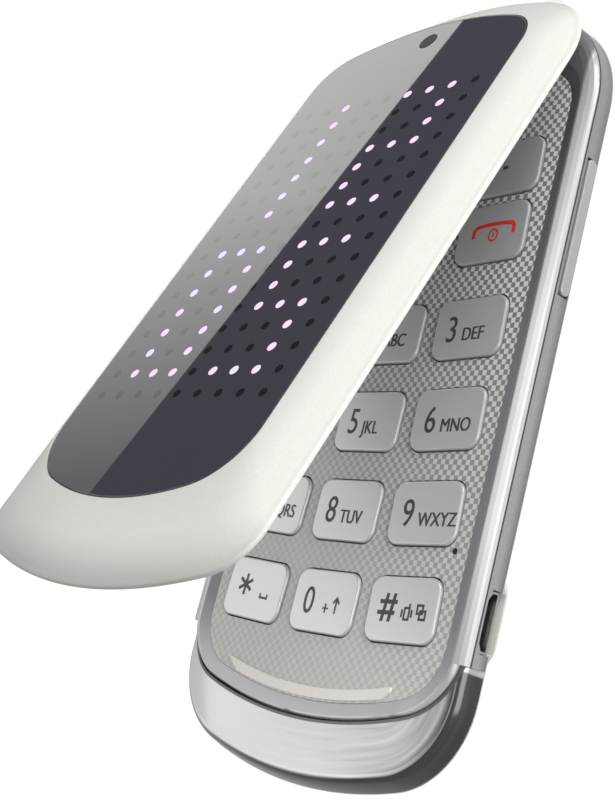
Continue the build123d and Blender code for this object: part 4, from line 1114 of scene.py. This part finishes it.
# %% Floor
FLOOR_HALF, FLOOR_Z, FLOOR_GLOW = 1.5, -0.00002, 1.05
WHITE = (1.0, 1.0, 1.0)


def studio_floor():
    mesh = bpy.data.meshes.new("floor")
    corners = [(-1, -1), (1, -1), (1, 1), (-1, 1)]
    mesh.from_pydata([(x * FLOOR_HALF, y * FLOOR_HALF, FLOOR_Z) for x, y in corners], [],
                     [(0, 1, 2, 3)])
    floor = put("floor", mesh)
    finish = Finish("floor_paper", Roughness=0.9)
    finish.set("Base Color", (0.80, 0.80, 0.80))
    mesh.materials.append(finish.material)
    path = finish.node("LightPath")
    glow = finish.node("Emission", None, {"Color": WHITE, "Strength": FLOOR_GLOW})[0]
    paper = Wire(finish, finish.shader.outputs[0])
    mixed = finish.node("MixShader", None, {0: path[0], 1: paper, 2: glow})[0]
    finish.feed(finish.tree.nodes["Material Output"].inputs[0], mixed)
    return floor


print("floor reaches", studio_floor().dimensions.x, "m")

# %% [markdown]
# One sharp slanted edge runs across the window: it mirrors a pale screen beside a dark one.
# Screens could be pushed about until the edge fits. It is surer to reflect rays from the camera
# in the window and to set the screens' corners on them.

# %% Mirrored screens
SCREEN_FAR = 420.0
BAND_TOP, BAND_FOOT, BAND_SPAN = (4.9, 48.0), (-3.4, -39.0), 60.0
SIDE_SCREEN = ((-430, -420, 235), (-430, 150, 235), (-260, 150, 520), (-260, -420, 520))
SCREEN_FADE = (0.05, 0.62)
CARD_GREY = (0.12, 0.12, 0.13)
PALE_GLOW, CARD_GLOW, SIDE_GLOW = 2.6, 1.0, 1.25


def lid_plane(x, y):
    """A point on the window's face at rest, and its normal."""
    hinge = Vector((0, HINGE_Y, HINGE_Z))
    turned = Matrix.Rotation(-radians(REST_ANGLE), 3, "X")
    return turned @ (Vector((x, y, THICKNESS)) - hinge) + hinge, turned @ Vector((0, 0, 1))


def mirror_corners(span):
    """Where the window mirrors a sheet that starts at the band's edge."""
    corners = []
    for x, y in (BAND_TOP, BAND_FOOT, (BAND_FOOT[0] + span, BAND_FOOT[1]),
                 (BAND_TOP[0] + span, BAND_TOP[1])):
        at, normal = lid_plane(x, y)
        ray = (at - Vector(CAMERA_AT)).normalized()
        back = ray - normal * (2 * ray.dot(normal))
        corners.append((at + back * SCREEN_FAR) * MM)
    return corners


def screen(name, corners, low, high, strength):
    """A sheet that only glossy surfaces see; low and high are its end colours."""
    mesh = bpy.data.meshes.new(name)
    mesh.from_pydata(corners, [], [(0, 1, 2, 3)])
    uv = mesh.uv_layers.new(name="UVMap")
    for loop, spot in zip(uv.data, ((0, 1), (0, 0), (1, 0), (1, 1))):
        loop.uv = spot
    made = put(name, mesh)
    finish = Finish(name + "_glow")
    height = finish.node("SeparateXYZ", None, {0: finish.node("TexCoord")[2]})[1]
    colour = finish.mix(height.ramp(*SCREEN_FADE), low, high)
    glow = finish.node("Emission", None, {"Color": colour, "Strength": strength})[0]
    finish.feed(finish.tree.nodes["Material Output"].inputs[0], glow)
    mesh.materials.append(finish.material)
    made.visible_camera = made.visible_diffuse = made.visible_shadow = False
    return made


screen("window_screen", mirror_corners(-BAND_SPAN), (0.27, 0.27, 0.275), (1.0, 1.0, 0.96),
       PALE_GLOW)
screen("window_card", mirror_corners(BAND_SPAN), CARD_GREY, CARD_GREY, CARD_GLOW)
screen("side_screen", [mm(*corner) for corner in SIDE_SCREEN], WHITE, WHITE, SIDE_GLOW)
print("screens stand", SCREEN_FAR, "mm away")

# %% [markdown]
# Soft light comes from a white sky, a broad lamp behind the hinge and a weaker one from the
# right. A brighter sky alone would be even but flat. Past the floor, the camera sees a second
# background, which is pure white.

# %% Sky and lamps
SKY, SEEN_SKY, KEY_WATTS, FILL_WATTS = 0.51, 1.0, 1.25, 0.80


def studio_sky():
    world = bpy.data.worlds.new("studio")
    bpy.context.scene.world = world
    world.use_nodes = True
    tree = world.node_tree
    sky, seen = tree.nodes["Background"], tree.nodes.new("ShaderNodeBackground")
    for node, strength in ((sky, SKY), (seen, SEEN_SKY)):
        node.inputs[0].default_value = (*WHITE, 1.0)
        node.inputs[1].default_value = strength
    path, both = tree.nodes.new("ShaderNodeLightPath"), tree.nodes.new("ShaderNodeMixShader")
    for source, target in ((path, both.inputs[0]), (sky, both.inputs[1]), (seen, both.inputs[2]),
                           (both, tree.nodes["World Output"].inputs[0])):
        tree.links.new(source.outputs[0], target)


def lamp(name, at, aim, size, watts):
    """A white lamp at one point that shines toward another."""
    data = bpy.data.lights.new(name, "AREA")
    data.shape, data.size, data.size_y = "RECTANGLE", size[0] * MM, size[1] * MM
    data.energy = watts
    made = put(name, data)
    made.location = mm(*at)
    made.rotation_mode = "QUATERNION"
    made.rotation_quaternion = (mm(*aim) - mm(*at)).to_track_quat("-Z", "Y")


studio_sky()
lamp("key_lamp", (300, 400, 220), (0, 0, 0), (240, 240), KEY_WATTS)
lamp("fill_lamp", (430, -30, 190), (0, -10, 10), (200, 260), FILL_WATTS)
print("lamps shine with", KEY_WATTS, "and", FILL_WATTS, "W")

# %% [markdown]
